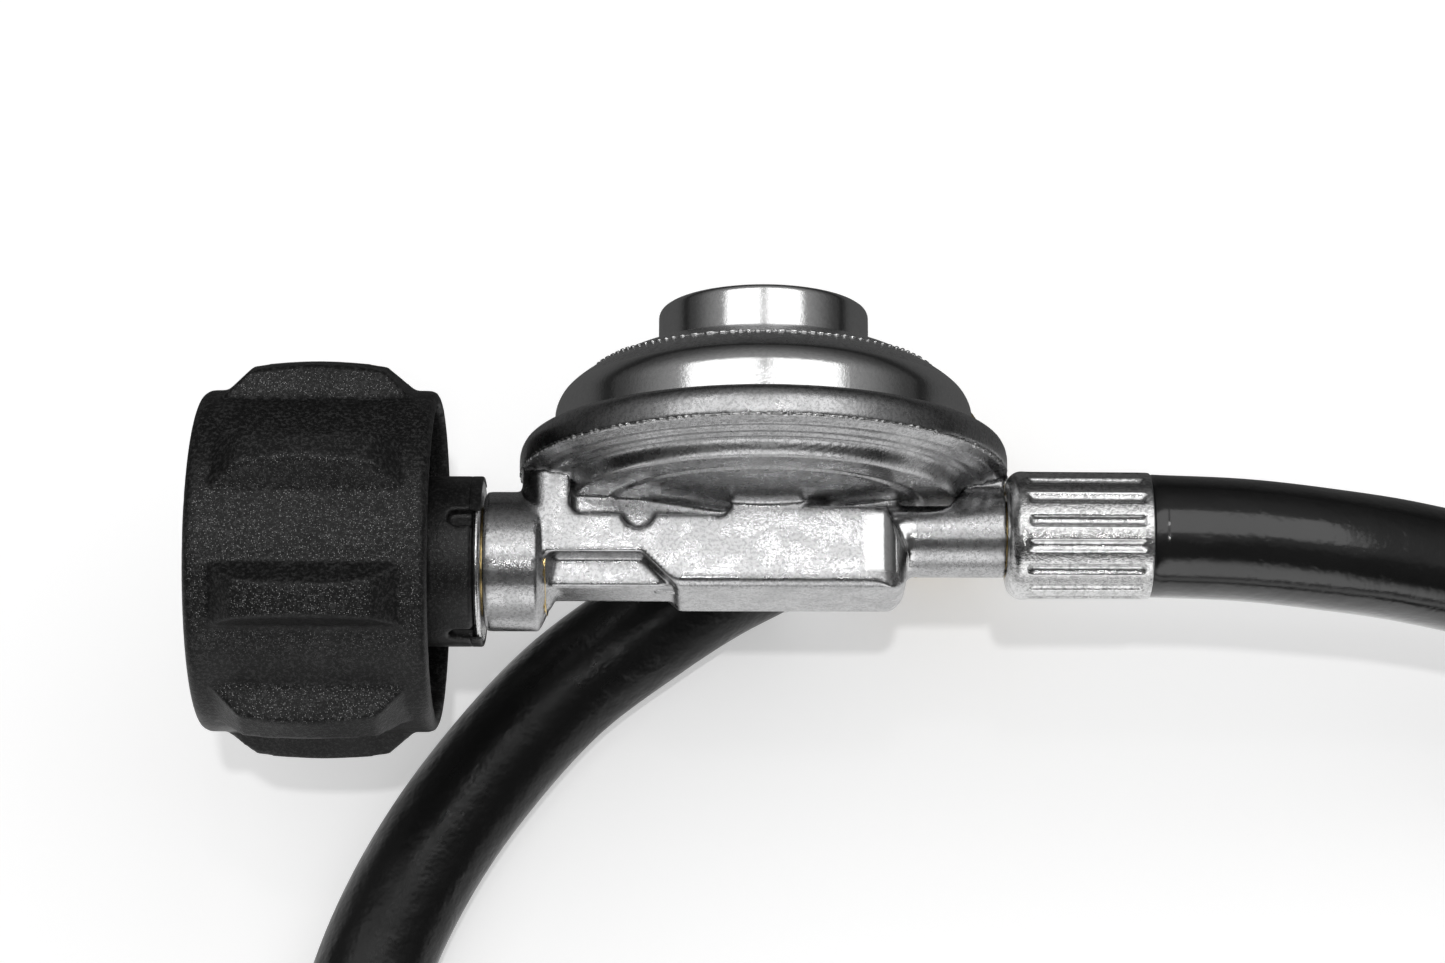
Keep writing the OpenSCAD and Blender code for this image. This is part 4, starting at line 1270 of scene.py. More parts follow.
@dataclass
class Hose:
    """The rubber hose on its run over the floor.

    Attributes:
        diameter: Outside diameter.
        inside: Radius inside the ferrules.
        grips: How far its last three rings reach into a ferrule, the closed end first.
        step: Distance between two rings.
        around: Points in a ring.
        cuts: Points between two points of the route, before the line gets even steps.
        route: The points that it runs through.
    """

    diameter: float = 15.9
    inside: float = 7.55
    grips: tuple[float, float, float] = (3.0, 1.2, 0.3)
    step: float = 2.0
    around: int = 56
    cuts: int = 24
    route: tuple[tuple[float, float, float], ...] = (
        (110.4, 3.7, 0.0), (122.5, 3.4, -0.8), (134.0, 2.7, -3.0), (145.5, 1.9, -6.8),
        (158.0, 0.1, -11.8), (169.9, -4.0, -17.4), (180.8, -10.3, -23.2), (190.3, -18.6, -28.6),
        (198.1, -28.5, -33.4), (203.8, -39.7, -37.2), (207.6, -52.2, -40.0),
        (209.4, -65.7, -41.6), (209.2, -80.0, -42.05), (206.6, -94.6, -42.05),
        (201.7, -108.8, -42.05), (194.5, -122.3, -42.05), (185.2, -134.6, -42.05),
        (174.1, -145.3, -42.05), (161.4, -154.2, -42.05), (147.4, -161.0, -42.05),
        (132.5, -165.6, -42.05), (117.2, -168.0, -42.05), (101.7, -168.3, -42.05),
        (86.2, -166.4, -42.05), (71.3, -162.4, -42.05), (57.2, -156.1, -42.05),
        (44.3, -147.7, -42.05), (32.9, -137.4, -42.05), (23.0, -125.6, -42.05),
        (14.9, -112.6, -42.05), (8.9, -98.6, -42.05), (4.9, -84.0, -42.05), (3.8, -69.2, -42.05),
        (5.4, -55.8, -42.05), (9.4, -43.0, -42.05), (15.8, -30.4, -42.05), (24.0, -18.8, -42.05),
        (33.6, -8.2, -41.9), (45.2, 0.5, -41.0), (53.4, 5.9, -40.6), (61.0, 10.0, -40.5),
    )

    def line(self) -> np.ndarray:
        """Works out the centre line.

        Between route points P1 and P2, with their neighbours P0 and P3, a point is
        0.5 (2 P1 + (P2 - P0) t + (2 P0 - 5 P1 + 4 P2 - P3) t^2 + (3 P1 - P0 - 3 P2 + P3) t^3).
        The curve is then cut into even steps.

        Returns:
            The centre line, one row per step.
        """
        p = np.array(self.route)
        p = np.vstack([2 * p[0] - p[1], p, 2 * p[-1] - p[-2]])
        t = np.linspace(0, 1, self.cuts, endpoint=False)[None, :, None]
        a, b, c, d = (p[k : len(p) - 3 + k][:, None] for k in range(4))
        curve = 0.5 * (
            2 * b
            + (c - a) * t
            + (2 * a - 5 * b + 4 * c - d) * t**2
            + (3 * b - a - 3 * c + d) * t**3
        )
        curve = np.vstack([curve.reshape(-1, 3), p[-2]])
        gone = np.concatenate([[0], np.cumsum(np.linalg.norm(np.diff(curve, axis=0), axis=1))])
        even = np.linspace(0, gone[-1], int(gone[-1] / self.step) + 1)
        return np.stack([np.interp(even, gone, curve[:, k]) for k in range(3)], axis=1)

    def build(self, shop: Workshop) -> None:
        """Carries a ring along the centre line and closes it inside both ferrules.

        A point is C(s) + R(s) (cos t * side + sin t * rise), where side and rise are square to
        the run, and R is the hose's radius, drawn in where a ferrule grips it.

        Args:
            shop: The workshop.
        """
        line = self.line()
        run = unit(np.gradient(line, axis=0))
        ends = len(self.grips)
        grip = np.array(self.grips)[:, None]
        line = np.vstack([line[0] - grip * run[0], line, line[-1] + grip[::-1] * run[-1]])
        first, last = np.repeat(run[:1], ends, axis=0), np.repeat(run[-1:], ends, axis=0)
        run = np.vstack([first, run, last])
        side = unit(np.cross(run, Z_AXIS))[:, None]
        rise = np.cross(side, run[:, None])
        radius = np.full(len(line), self.diameter / 2)
        radius[[1, 2, -3, -2]] = self.inside
        radius[[0, -1]] = 0.0
        angle = ring_angles(self.around)
        ring = np.cos(angle)[None, :, None] * side + np.sin(angle)[None, :, None] * rise
        points = line[:, None] + radius[:, None, None] * ring
        gone = np.arange(len(line)) * self.step
        across = angle * self.diameter / 2
        uv = np.stack(np.broadcast_arrays(across[None, :], gone[:, None]), axis=-1)
        piece = grid_object("hose_tube", points, False, True, uv=uv * MM)
        soften(piece, sharp_degrees=60)
        shop.fit(piece, "regulator", "hose_rubber", Finish.HOSE, "hose")


# ---- fittings at the hose's two ends --------------------------------------------------------


@dataclass
class Ferrule:
    """A crimped sleeve with long flutes pressed into it.

    Attributes:
        name: The piece's name.
        node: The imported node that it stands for.
        start: Middle of its closed end.
        axis: Direction from the closed end to the open one.
        length: Its length.
        radius: Its outside radius.
        hole: Radius of the hole in its closed end.
        flutes: Number of flutes.
        sink: Depth of a flute.
        run_in: Where the flutes start, and over what length they reach their depth.
        run_out: The same at their other end, counted back from the open end.
        columns: Points round the sleeve for each flute.
    """

    name: str
    node: str
    start: np.ndarray
    axis: np.ndarray
    length: float
    radius: float
    hole: float = 5.0
    flutes: int = 16
    sink: float = 0.45
    run_in: tuple[float, float] = (2.3, 1.0)
    run_out: tuple[float, float] = (0.9, 0.7)
    columns: int = 20

    def build(self, shop: Workshop) -> None:
        """Turns the sleeve's profile and presses the flutes in.

        The radius falls by sink * w(a) * g(t), where w = s^2 (3 - 2 s) with s 1 along the flutes
        and 0 beyond their ends, and g = max(0, cos(n t))^0.8 round the sleeve.

        Args:
            shop: The workshop.
        """
        end, r, hole = self.length, self.radius, self.hole
        # Rows of distance from the closed end and radius.
        closed_end = [[0, hole], [0, r - 2.0], [0.35, r - 0.8], [1.5, r + 0.08], [3.0, r]]
        open_end = [[end - 0.5, r - 0.05], [end, r - 0.12], [end, r - 0.62]]
        inside = [[1.3, r - 0.7], [1.3, hole]]
        corners = np.array(closed_end + open_end + inside)
        profile = finer(eased(corners, radius=0.9, steps=6), longest=0.35)
        points, angle = turned(profile, self.start, self.axis, self.flutes * self.columns)
        along, outside = profile[:, 0], profile[:, 1] > r - 0.6
        deeper = np.clip((along - self.run_in[0]) / self.run_in[1], 0, 1)
        shallower = np.clip((end - self.run_out[0] - along) / self.run_out[1], 0, 1)
        rise = deeper * shallower
        window = np.where(outside, rise * rise * (3 - 2 * rise), 0)
        groove = np.clip(np.cos(self.flutes * angle), 0, 1) ** 0.8
        fall = self.sink * window[:, None] * groove[None]
        centre = self.start + along[:, None] * unit(self.axis)
        out = unit(points - centre[:, None])
        piece = grid_object(self.name, points - fall[..., None] * out)
        soften(piece, sharp_degrees=50)
        shop.fit(piece, "regulator", "ferrule_steel", Finish.FERRULE, self.node)


@dataclass
class FlareEnd:
    """The swivel nut on the far end of the hose, with its sleeve.

    Attributes:
        start: The hose's end.
        heading: Direction of the end, in degrees from X.
        sleeve: Length of the ferrule there.
        thread_r: Radius of the nut's thread.
        thread_from: Where the thread starts, from the hose's end.
        thread_to: Where it ends.
        pitch: Distance between its turns.
        height: Height of a turn.
    """

    start: tuple[float, float, float] = (61.0, 10.0, -40.5)
    heading: float = 22.0
    sleeve: float = 17.0
    thread_r: float = 7.2
    thread_from: float = 24.7
    thread_to: float = 34.2
    pitch: float = 1.4
    height: float = 0.5

    def build(self, shop: Workshop) -> None:
        """Builds the sleeve, the rounded nut and the thread in it.

        Args:
            shop: The workshop.
        """
        turn = math.radians(self.heading)
        axis = np.array([math.cos(turn), math.sin(turn), 0.0])
        start = np.array(self.start)
        closed_end, radius = start + self.sleeve * axis, shop.layout.ferrule_r
        sleeve = Ferrule(
            "far_ferrule_sleeve", "far_ferrule", closed_end, -axis, self.sleeve, radius
        )
        sleeve.build(shop)
        nut = eased_copy("flare_nut_hex", shop.nodes["flare_nut"], cell=0.3, rounds=3)
        shop.fit(nut, "flare", "brass", Finish.BRASS, "flare_nut")
        thread = Thread(
            "flare_thread_turns",
            start,
            axis,
            self.thread_from,
            self.thread_to,
            self.thread_r,
            self.pitch,
            self.height,
        )
        thread.build(shop, "flare", "brass", Finish.BRASS)


@dataclass
class Thread:
    """Turns of an inside thread, as a closed sleeve on the bore's wall.

    Attributes:
        name: The piece's name.
        start: The point that stations count from.
        axis: Its axis.
        first: Station where it starts.
        last: Station where it ends.
        radius: Radius of the bore, at the thread's roots.
        pitch: Distance between turns.
        height: Height of a turn.
        square: How flat the crests are, 0 to 1.
        rows: Points along a turn.
        columns: Points round the bore.
        backing: How far the sleeve reaches into the wall.
        proud: How far it stands out of the wall at least.
        run_out: Where it fades in and out at its ends, in turns.
    """

    name: str
    start: np.ndarray
    axis: np.ndarray
    first: float
    last: float
    radius: float
    pitch: float
    height: float
    square: float = 0.2
    rows: int = 10
    columns: int = 96
    backing: float = 0.05
    proud: float = 0.02
    run_out: float = 0.6

    def build(self, shop: Workshop, body: str, slot: str, finish: Finish) -> None:
        """Winds the thread.

        The inner radius is R - proud - h f (0.5 + 0.5 q), where q is
        (1 + 2 square) cos(2 pi a / pitch - t), held between -1 and 1 so that crests are flat,
        and f fades from 1 to 0 at both ends.

        Args:
            shop: The workshop.
            body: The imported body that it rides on.
            slot: The record's slot.
            finish: Its finish.
        """
        steps = int((self.last - self.first) / self.pitch * self.rows)
        along = np.linspace(self.first, self.last, steps)
        outer = np.stack([along[::-1], np.full(steps, self.radius + self.backing)], axis=1)
        inner = np.stack([along, np.full(steps, self.radius)], axis=1)
        profile = np.vstack([inner, outer])
        points, angle = turned(profile, self.start, self.axis, self.columns)
        wave = np.cos(FULL_TURN * (along[:, None] / self.pitch - angle[None] / FULL_TURN))
        wave = np.clip(wave * (1 + 2 * self.square), -1, 1)
        room = np.minimum(along - self.first, self.last - along) / (self.run_out * self.pitch)
        fade = np.clip(room, 0, 1)[:, None]
        inward = self.height * (0.5 + 0.5 * wave) * fade + self.proud
        centre = self.start + along[:, None] * unit(self.axis)
        out = unit(points[:steps] - centre[:, None])
        points[:steps] -= inward[..., None] * out
        piece = grid_object(self.name, points)
        soften(piece, sharp_degrees=50)
        shop.fit(piece, body, slot, finish)


# ---- casting --------------------------------------------------------------------------------


@dataclass
class BurrRing:
    """A thin uneven line of metal left round a turned or cast edge.

    Attributes:
        name: The piece's name.
        height: Its height on the diaphragm axis.
        radius: Its radius.
        thick: Mean thickness.
        seed: Seed of its unevenness.
        waves: The range of its waves round the ring.
        dashes: Number of separate marks round the ring, or 0 for an unbroken line.
        columns: Points round the axis.
        around: Points round the line itself.
    """

    name: str
    height: float
    radius: float
    thick: float
    seed: int
    waves: tuple[int, int]
    dashes: int = 0
    columns: int = 1440
    around: int = 8

    def build(self, shop: Workshop, slot: str, finish: Finish) -> None:
        """Carries a small ring round the axis, thicker and thinner as it goes.

        A point is centre + (R + b cos p) out + (h + d + b sin p) up. The thickness is
        b = thick (1.05 + 0.95 q) / 2 with q an uneven line round the ring, or with marks
        b = thick (0.25 + 0.8 clip(1.6 sin(n t + 9 q) + 0.5 + q, 0, 1)) / 2. The line's drift d
        is 0.12 thick times a second uneven line.

        Args:
            shop: The workshop.
            slot: The record's slot.
            finish: Its finish.
        """
        angle, around = ring_angles(self.columns), ring_angles(self.around)
        uneven = ripple(angle, self.seed, self.waves, count=14)
        bulk = self.thick / 2 * (1.05 + 0.95 * uneven)
        if self.dashes:
            mark = np.clip(1.6 * np.sin(self.dashes * angle + 9 * uneven) + 0.5 + uneven, 0, 1)
            bulk = self.thick / 2 * (0.25 + 0.8 * mark)
        drift = 0.12 * self.thick * ripple(angle, self.seed + 1, waves=(4, 40), count=8)
        out = np.stack([np.cos(angle), np.zeros_like(angle), np.sin(angle)], axis=1)
        reach = self.radius + bulk[:, None] * np.cos(around)[None]
        rise = self.height + drift[:, None] + bulk[:, None] * np.sin(around)[None]
        points = shop.layout.disc() + reach[..., None] * out[:, None] + rise[..., None] * Y_AXIS
        piece = grid_object(self.name, points)
        soften(piece, sharp_degrees=80)
        shop.fit(piece, "regulator", slot, finish)


@dataclass
class Casting:
    """The zinc body with the small marks that its mould leaves.

    Attributes:
        cell: Size of the cells that its rounded skin is built on.
        burr: Height over the flange's lower face, distance inside its edge, and thickness of
            the burr there.
        bar: Middle, length, width and height of the raised bar under the web.
        bar_foot: How far the bar is sunk into the web.
        corner: Lowest and highest corner of the box round the polished corner.
        corner_edge: The width over which the polish ends.
        bowl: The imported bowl's profile, as radius and height.
        dish: The profile that its skin is moved to.
        chamber: The floor of the chamber inside.
        sunk: The distances from the diaphragm axis between which the skin moves.
        sunk_edge: The width over which it starts to move.
        strip: Half of the width, and the reach, of the strip by the web that stays.
        skin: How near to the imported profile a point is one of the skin's.
    """

    cell: float = 0.4
    burr: tuple[float, float, float] = (0.35, 0.3, 0.46)
    bar: tuple[tuple[float, float, float], float, float, float] = (
        (49.9, -4.3, 1.8),
        6.6,
        1.6,
        0.25,
    )
    bar_foot: float = 0.3
    corner: tuple[tuple[float, float, float], tuple[float, float, float]] = (
        (73.3, -3.0, 2.0),
        (80.0, 4.9, 9.0),
    )
    corner_edge: float = 0.4
    bowl: tuple[tuple[float, float], ...] = (
        (0, 5.9), (8, 6), (13, 6.9), (15.6, 7.7), (16.3, 8.3), (18.4, 8.8), (19.2, 9.4),
        (20.1, 10.4), (21.2, 11), (22.3, 10.9), (23.4, 10.3), (26.6, 10.2), (26.9, 10.5),
        (29.2, 10.5), (30.1, 10.9), (31.6, 10.9),
    )
    dish: tuple[tuple[float, float], ...] = (
        (8, 6), (12, 6.7), (16, 7.1), (19.6, 7.3), (20.2, 7.65), (20.9, 7.4), (23, 7.5),
        (24.7, 7.65), (25.1, 7.9), (26.0, 9.45), (26.3, 9.65), (27, 9.7), (27.3, 9.95),
        (28.6, 10), (28.9, 10.3), (30.2, 10.45), (30.5, 10.8), (31.6, 10.9),
    )
    chamber: tuple[tuple[float, float], ...] = ((10, 8), (16, 9.6), (20.5, 11.6), (21, 12.2))
    sunk: tuple[float, float] = (8.5, 31.1)
    sunk_edge: float = 3.0
    strip: tuple[float, float] = (2.2, 13.0)
    skin: float = 0.45

    def sink_bowl(self, body: bpy.types.Object, layout: Layout) -> None:
        """Gives the bowl under the flange its broad floor, its steep edge and its fine rings.

        With r the distance from the diaphragm axis, a point of the outer skin near the packed
        profile y = old(r) moves to y = new(r), and so does every outer point that would stand
        above it. All profiles run in straight lines between their points. The outer skin is
        what lies below the mean of old(r) and the chamber's floor.

        Args:
            body: The casting.
            layout: The shared stations.
        """
        points = points_of(body)
        middle = layout.disc()
        r = np.hypot(points[:, 0] - middle[0], points[:, 2] - middle[2])
        old, new, hollow = (
            np.interp(r, *np.array(profile).T) for profile in (self.bowl, self.dish, self.chamber)
        )
        height = points[:, 1]
        outer = (height < (old + hollow) / 2) & (r > self.sunk[0]) & (r < self.sunk[1])
        strip = (np.abs(points[:, 2]) < self.strip[0]) & (r < self.strip[1])
        on_skin = np.abs(height - old) < self.skin
        moved = outer & ~strip & (on_skin | (height > new))
        blend = np.clip((r - self.sunk[0]) / self.sunk_edge, 0, 1)
        points[:, 1] = np.where(moved, height + (new - height) * blend, height)
        body.data.vertices.foreach_set("co", (points * MM).astype(np.float32).ravel())
        body.data.update()

    def burnish(self, body: bpy.types.Object) -> None:
        """Marks the corner of the valve housing that handling has polished.

        The attribute polish is the product of one clipped ramp for each side of a box, so it
        is 1 inside the box and falls to 0 towards its sides.

        Args:
            body: The casting.
        """
        points = points_of(body)
        low, high = (np.array(corner) for corner in self.corner)
        inside = np.minimum(points - low, high - points)
        polish = np.clip(inside / self.corner_edge, 0, 1).prod(axis=1)
        layer = body.data.attributes.new("polish", "FLOAT", "POINT")
        layer.data.foreach_set("value", polish.astype(np.float32))

    def raised_bar(self, shop: Workshop) -> None:
        """Builds the low bar on the web's lower face.

        Over its length and width the height is h (1 - |u|^8) (1 - |v|^6), with u and v from -1
        to 1, and its foot is sunk into the web.

        Args:
            shop: The workshop.
        """
        (x, y, z), length, width, height = self.bar
        u, v = np.meshgrid(np.linspace(-1, 1, 61), np.linspace(-1, 1, 25), indexing="ij")
        rise = height * (1 - np.abs(u) ** 8) * (1 - np.abs(v) ** 6)
        top = np.stack([x + u * length / 2, y - rise, z + v * width / 2], axis=-1)
        foot = top.copy()
        foot[..., 1] = y + self.bar_foot
        piece = grid_object("casting_bar", np.concatenate([top, foot[::-1]]), True, False)
        soften(piece, sharp_degrees=60)
        shop.fit(piece, "regulator", "zinc_casting", Finish.CASTING)

    def build(self, shop: Workshop) -> None:
        """Builds the body, its bar and the burr under its flange.

        Args:
            shop: The workshop.
        """
        layout = shop.layout
        node = shop.nodes["regulator_body"]
        body = eased_copy("regulator_casting", node, self.cell, rounds=3)
        self.sink_bowl(body, layout)
        self.burnish(body)
        shop.fit(body, "regulator", "zinc_casting", Finish.CASTING, "regulator_body")
        self.raised_bar(shop)
        above, inside, thick = self.burr
        height, radius = layout.rim_low + above, layout.rim_r - inside
        burr = BurrRing("flange_burr", height, radius, thick, seed=11, waves=(40, 260))
        burr.build(shop, "zinc_casting", Finish.ROUGH_CAST)


# ---- bonnet ---------------------------------------------------------------------------------


@dataclass
class Bonnet:
    """The bright cover with its wall, shoulder and chimney.

    Attributes:
        radius: Radius of the wall.
        shoulder_z: Height where the shoulder starts.
        shoulder_h: Rise of the shoulder.
        chimney_r: Radius of the chimney.
        chimney_h: Height of the chimney.
        bore: Radius inside the chimney.
        wall: Thickness of the metal.
        foot: How far its foot lies above the flange's lower face and below its upper face,
            and how far its edge is inside the flange's.
        shape: The shoulder's profile as shares of its run and its rise.
        polished: How near to the wall's and the chimney's radius it is polished.
        vent: Radius of the vent's hole, and half of the length that is cut for it.
        marks: Height, radius and thickness of the ring of small marks.
        columns: Points round the axis.
    """

    radius: float = 27.1
    shoulder_z: float = 21.2
    shoulder_h: float = 6.1
    chimney_r: float = 13.7
    chimney_h: float = 6.2
    bore: float = 10.06
    wall: float = 1.4
    foot: tuple[float, float, float] = (2.3, 0.8, 1.8)
    shape: tuple[tuple[float, float], ...] = (
        (0, 1), (0.27, 0.95), (0.42, 0.82), (0.68, 0.5), (0.84, 0.25), (0.94, 0.04), (1, -0.25),
    )
    polished: tuple[float, float] = (1.2, 0.25)
    vent: tuple[float, float] = (1.4, 3.0)
    marks: tuple[float, float, float] = (24.46, 22.5, 0.46)
    columns: int = 224

    def profile(self, shop: Workshop) -> np.ndarray:
        """Works out the closed profile, without its roundings.

        Args:
            shop: The workshop.

        Returns:
            Rows of height and radius.
        """
        layout = shop.layout
        above, below, inside = self.foot
        base, lip_z, lip_r = layout.rim_low + above, layout.rim_top - below, layout.rim_r - inside
        inner, top_in = self.radius - self.wall, self.shoulder_z - self.wall
        chimney_z = self.shoulder_z + self.shoulder_h
        top = chimney_z + self.chimney_h
        share = np.array(self.shape)
        outer_run = self.chimney_r + (self.radius - self.chimney_r) * share[:, 0]
        inner_run = self.chimney_r + (inner - self.chimney_r) * share[1:, 0]
        outer_rise = self.shoulder_z + self.shoulder_h * share[:, 1]
        inner_rise = top_in + self.shoulder_h * share[1:, 1]
        foot = [[base, inner], [base, lip_r], [lip_z, lip_r], [lip_z, self.radius]]
        shoulder = np.stack([outer_rise, outer_run], axis=1)[::-1]
        chimney = [[top, self.chimney_r], [top, self.bore], [chimney_z - self.wall, self.bore]]
        lining = np.stack([inner_rise, inner_run], axis=1)
        return np.vstack([foot, shoulder, chimney, lining])

    def build(self, shop: Workshop) -> None:
        """Turns the cover, opens its vent, and lays the line of small marks on its shoulder.

        Args:
            shop: The workshop.
        """
        profile = finer(eased(self.profile(shop), radius=0.9, steps=7), longest=0.6)
        points, _ = turned(profile, shop.layout.disc(), Y_AXIS, self.columns)
        radius = profile[:, 1]
        on_wall = radius > self.radius - self.polished[0]
        on_chimney = radius < self.chimney_r + self.polished[1]
        polish = (on_wall | on_chimney).astype(float)[:, None]
        values = {"polish": np.broadcast_to(polish, points.shape[:2])}
        piece = grid_object("bonnet_cover", points, values=values)
        soften(piece, sharp_degrees=32)
        self.open_vent(shop, piece)
        shop.fit(piece, "regulator", "bright_bonnet", Finish.BONNET, "bonnet")
        marks = BurrRing("shoulder_marks", *self.marks, seed=23, waves=(3, 19), dashes=110)
        marks.build(shop, "bright_bonnet", Finish.FERRULE)

    def open_vent(self, shop: Workshop, piece: bpy.types.Object) -> None:
        """Cuts the vent's round hole through the cover, square to its slope.

        Args:
            shop: The workshop.
            piece: The cover.
        """
        low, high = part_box("vent_screen")
        middle = (np.array(low) + np.array(high)) / 2 / MM
        fall = (self.shape[2][1] - self.shape[3][1]) * self.shoulder_h
        run = (self.shape[3][0] - self.shape[2][0]) * (self.radius - self.chimney_r)
        out = middle - shop.layout.disc()
        out = unit(np.array([out[0], 0.0, out[2]]))
        axis = unit(run * Y_AXIS + fall * out)
        radius, reach = self.vent
        bar = np.array([[-reach, 0.0], [-reach, radius], [reach, radius], [reach, 0.0]])
        points, _ = turned(bar, middle, axis, count=40)
        cutter = grid_object("vent_cutter", points, False, True)
        cut = piece.modifiers.new("vent", "BOOLEAN")
        cut.operation = "DIFFERENCE"
        cut.solver = "EXACT"
        cut.object = cutter
        settle(piece)
        bpy.data.objects.remove(cutter)


# ---- inlet ----------------------------------------------------------------------------------


@dataclass
class Inlet:
    """The coupling nut, the bushing and the ring behind it.

    Attributes:
        nut_x: Mouth of the nut, from the nose tip.
        web_x: Bottom of its socket.
        socket_r: Radius of the thread in the socket.
        thread_in: How far the thread stays from the mouth and from the bottom.
        pitch: Distance between its turns.
        height: Height of a turn.
        square: How flat its crests are.
        sleeve_r: Radius of the bushing's sleeve.
        tab_spans: The two angles of each tab, in degrees.
        tab_start: How far before the ring a tab starts.
        tab_thick: Thickness of a tab.
        tab_end: Half of the slope of its end.
        ring_x: Where the sleeve ends and the ring starts.
        ring_end: Where the ring ends.
        ring_bore: Radius of the ring's hole.
        ring_below: How much smaller than the sleeve the ring is.
    """

    nut_x: float = -3.0
    web_x: float = 17.75
    socket_r: float = 15.5
    thread_in: tuple[float, float] = (1.2, 2.5)
    pitch: float = 5.08
    height: float = 1.1
    square: float = 0.6
    sleeve_r: float = 11.0
    tab_spans: tuple[tuple[float, float], ...] = ((-12.5, 66.5), (167.5, 246.5))
    tab_start: float = 0.6
    tab_thick: float = 0.32
    tab_end: float = 0.1
    ring_x: float = 32.2
    ring_end: float = 33.1
    ring_bore: float = 7.2
    ring_below: float = 0.36

    def tabs(self, shop: Workshop) -> None:
        """Builds the two tabs of the sleeve that reach over the ring.

        Each is a rounded profile carried from one angle to another about the inlet axis. Its
        first and last rows shrink to the profile's middle, which closes both ends.

        Args:
            shop: The workshop.
        """
        r, below = self.sleeve_r, self.sleeve_r - self.tab_thick
        near, far, slope = self.ring_x - self.tab_start, self.ring_end, self.tab_end
        corners = np.array([[near, below], [near, r], [far - slope, r], [far + slope, below]])
        profile = eased(corners, radius=0.25)
        middle = profile.mean(axis=0)
        for number, span in enumerate(self.tab_spans, 1):
            angle = np.radians(np.linspace(*span, num=80))
            angle = np.concatenate([angle[:1], angle, angle[-1:]])
            size = np.ones(len(angle))
            size[[0, -1]] = 0.0
            shaped = middle + (profile[None] - middle) * size[:, None, None]
            out = np.stack([np.zeros_like(angle), np.cos(angle), np.sin(angle)], axis=1)
            along, radius = shaped[..., :1], shaped[..., 1:]
            points = shop.layout.inlet() + along * X_AXIS + radius * out[:, None]
            piece = grid_object(f"sleeve_tab_{number}", points, False, True)
            soften(piece, sharp_degrees=45)
            shop.fit(piece, "regulator", "bushing_plastic", Finish.BUSHING)

    def end_ring(self, shop: Workshop) -> None:
        """Turns the ring that ends the sleeve, with its outer edges cut back.

        Args:
            shop: The workshop.
        """
        start, end, r = self.ring_x, self.ring_end, self.sleeve_r - self.ring_below
        # Rows of distance from the nose tip and radius.
        front = [[start, self.ring_bore], [start, r - 0.3], [start + 0.3, r]]
        back = [[end - 0.3, r], [end, r - 0.4], [end, self.ring_bore]]
        profile = eased(np.array(front + back), radius=0.2)
        points, _ = turned(profile, shop.layout.inlet(), X_AXIS, count=160)
        ring = grid_object("end_ring", points)
        soften(ring)
        shop.fit(ring, "regulator", "bushing_plastic", Finish.FERRULE, "retaining_ring")

    def build(self, shop: Workshop) -> None:
        """Builds the nut with its thread, the sleeve, its tabs and the ring.

        Args:
            shop: The workshop.
        """
        nut = eased_copy("coupling_nut_shell", shop.nodes["coupling_nut"], cell=0.4, rounds=4)
        shop.fit(nut, "nut", "nut_plastic", Finish.NUT, "coupling_nut")
        thread = Thread(
            "socket_thread",
            shop.layout.inlet(),
            X_AXIS,
            self.nut_x + self.thread_in[0],
            self.web_x - self.thread_in[1],
            self.socket_r,
            self.pitch,
            self.height,
            self.square,
        )
        thread.build(shop, "nut", "nut_plastic", Finish.NUT)
        sleeve = eased_copy("bushing_sleeve", shop.nodes["thermal_bushing"], cell=0.28, rounds=3)
        shop.fit(sleeve, "regulator", "bushing_plastic", Finish.BUSHING, "thermal_bushing")
        self.tabs(shop)
        self.end_ring(shop)


# ---- inside ---------------------------------------------------------------------------------


def cut_out(
    name: str, node: bpy.types.Object, planes: list[tuple[np.ndarray, np.ndarray]]
) -> bpy.types.Object:
    """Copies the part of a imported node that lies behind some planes, with its cuts closed.

    Args:
        name: The piece's name.
        node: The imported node.
        planes: A point of each plane in metres, and its normal, which points away from what
            stays.

    Returns:
        The new object.
    """
    work = bmesh.new()
    work.from_mesh(node.data)
    bmesh.ops.remove_doubles(work, verts=work.verts, dist=NODE_MERGE)
    for point, normal in planes:
        everything = work.verts[:] + work.edges[:] + work.faces[:]
        found = bmesh.ops.bisect_plane(
            work, geom=everything, plane_co=point, plane_no=normal, clear_outer=True
        )
        rim = [item for item in found["geom_cut"] if isinstance(item, bmesh.types.BMEdge)]
        bmesh.ops.holes_fill(work, edges=rim)
    bmesh.ops.recalc_face_normals(work, faces=work.faces)
    mesh = bpy.data.meshes.new(name)
    work.to_mesh(mesh)
    work.free()
    piece = linked(name, mesh)
    soften(piece, sharp_degrees=45)
    return piece


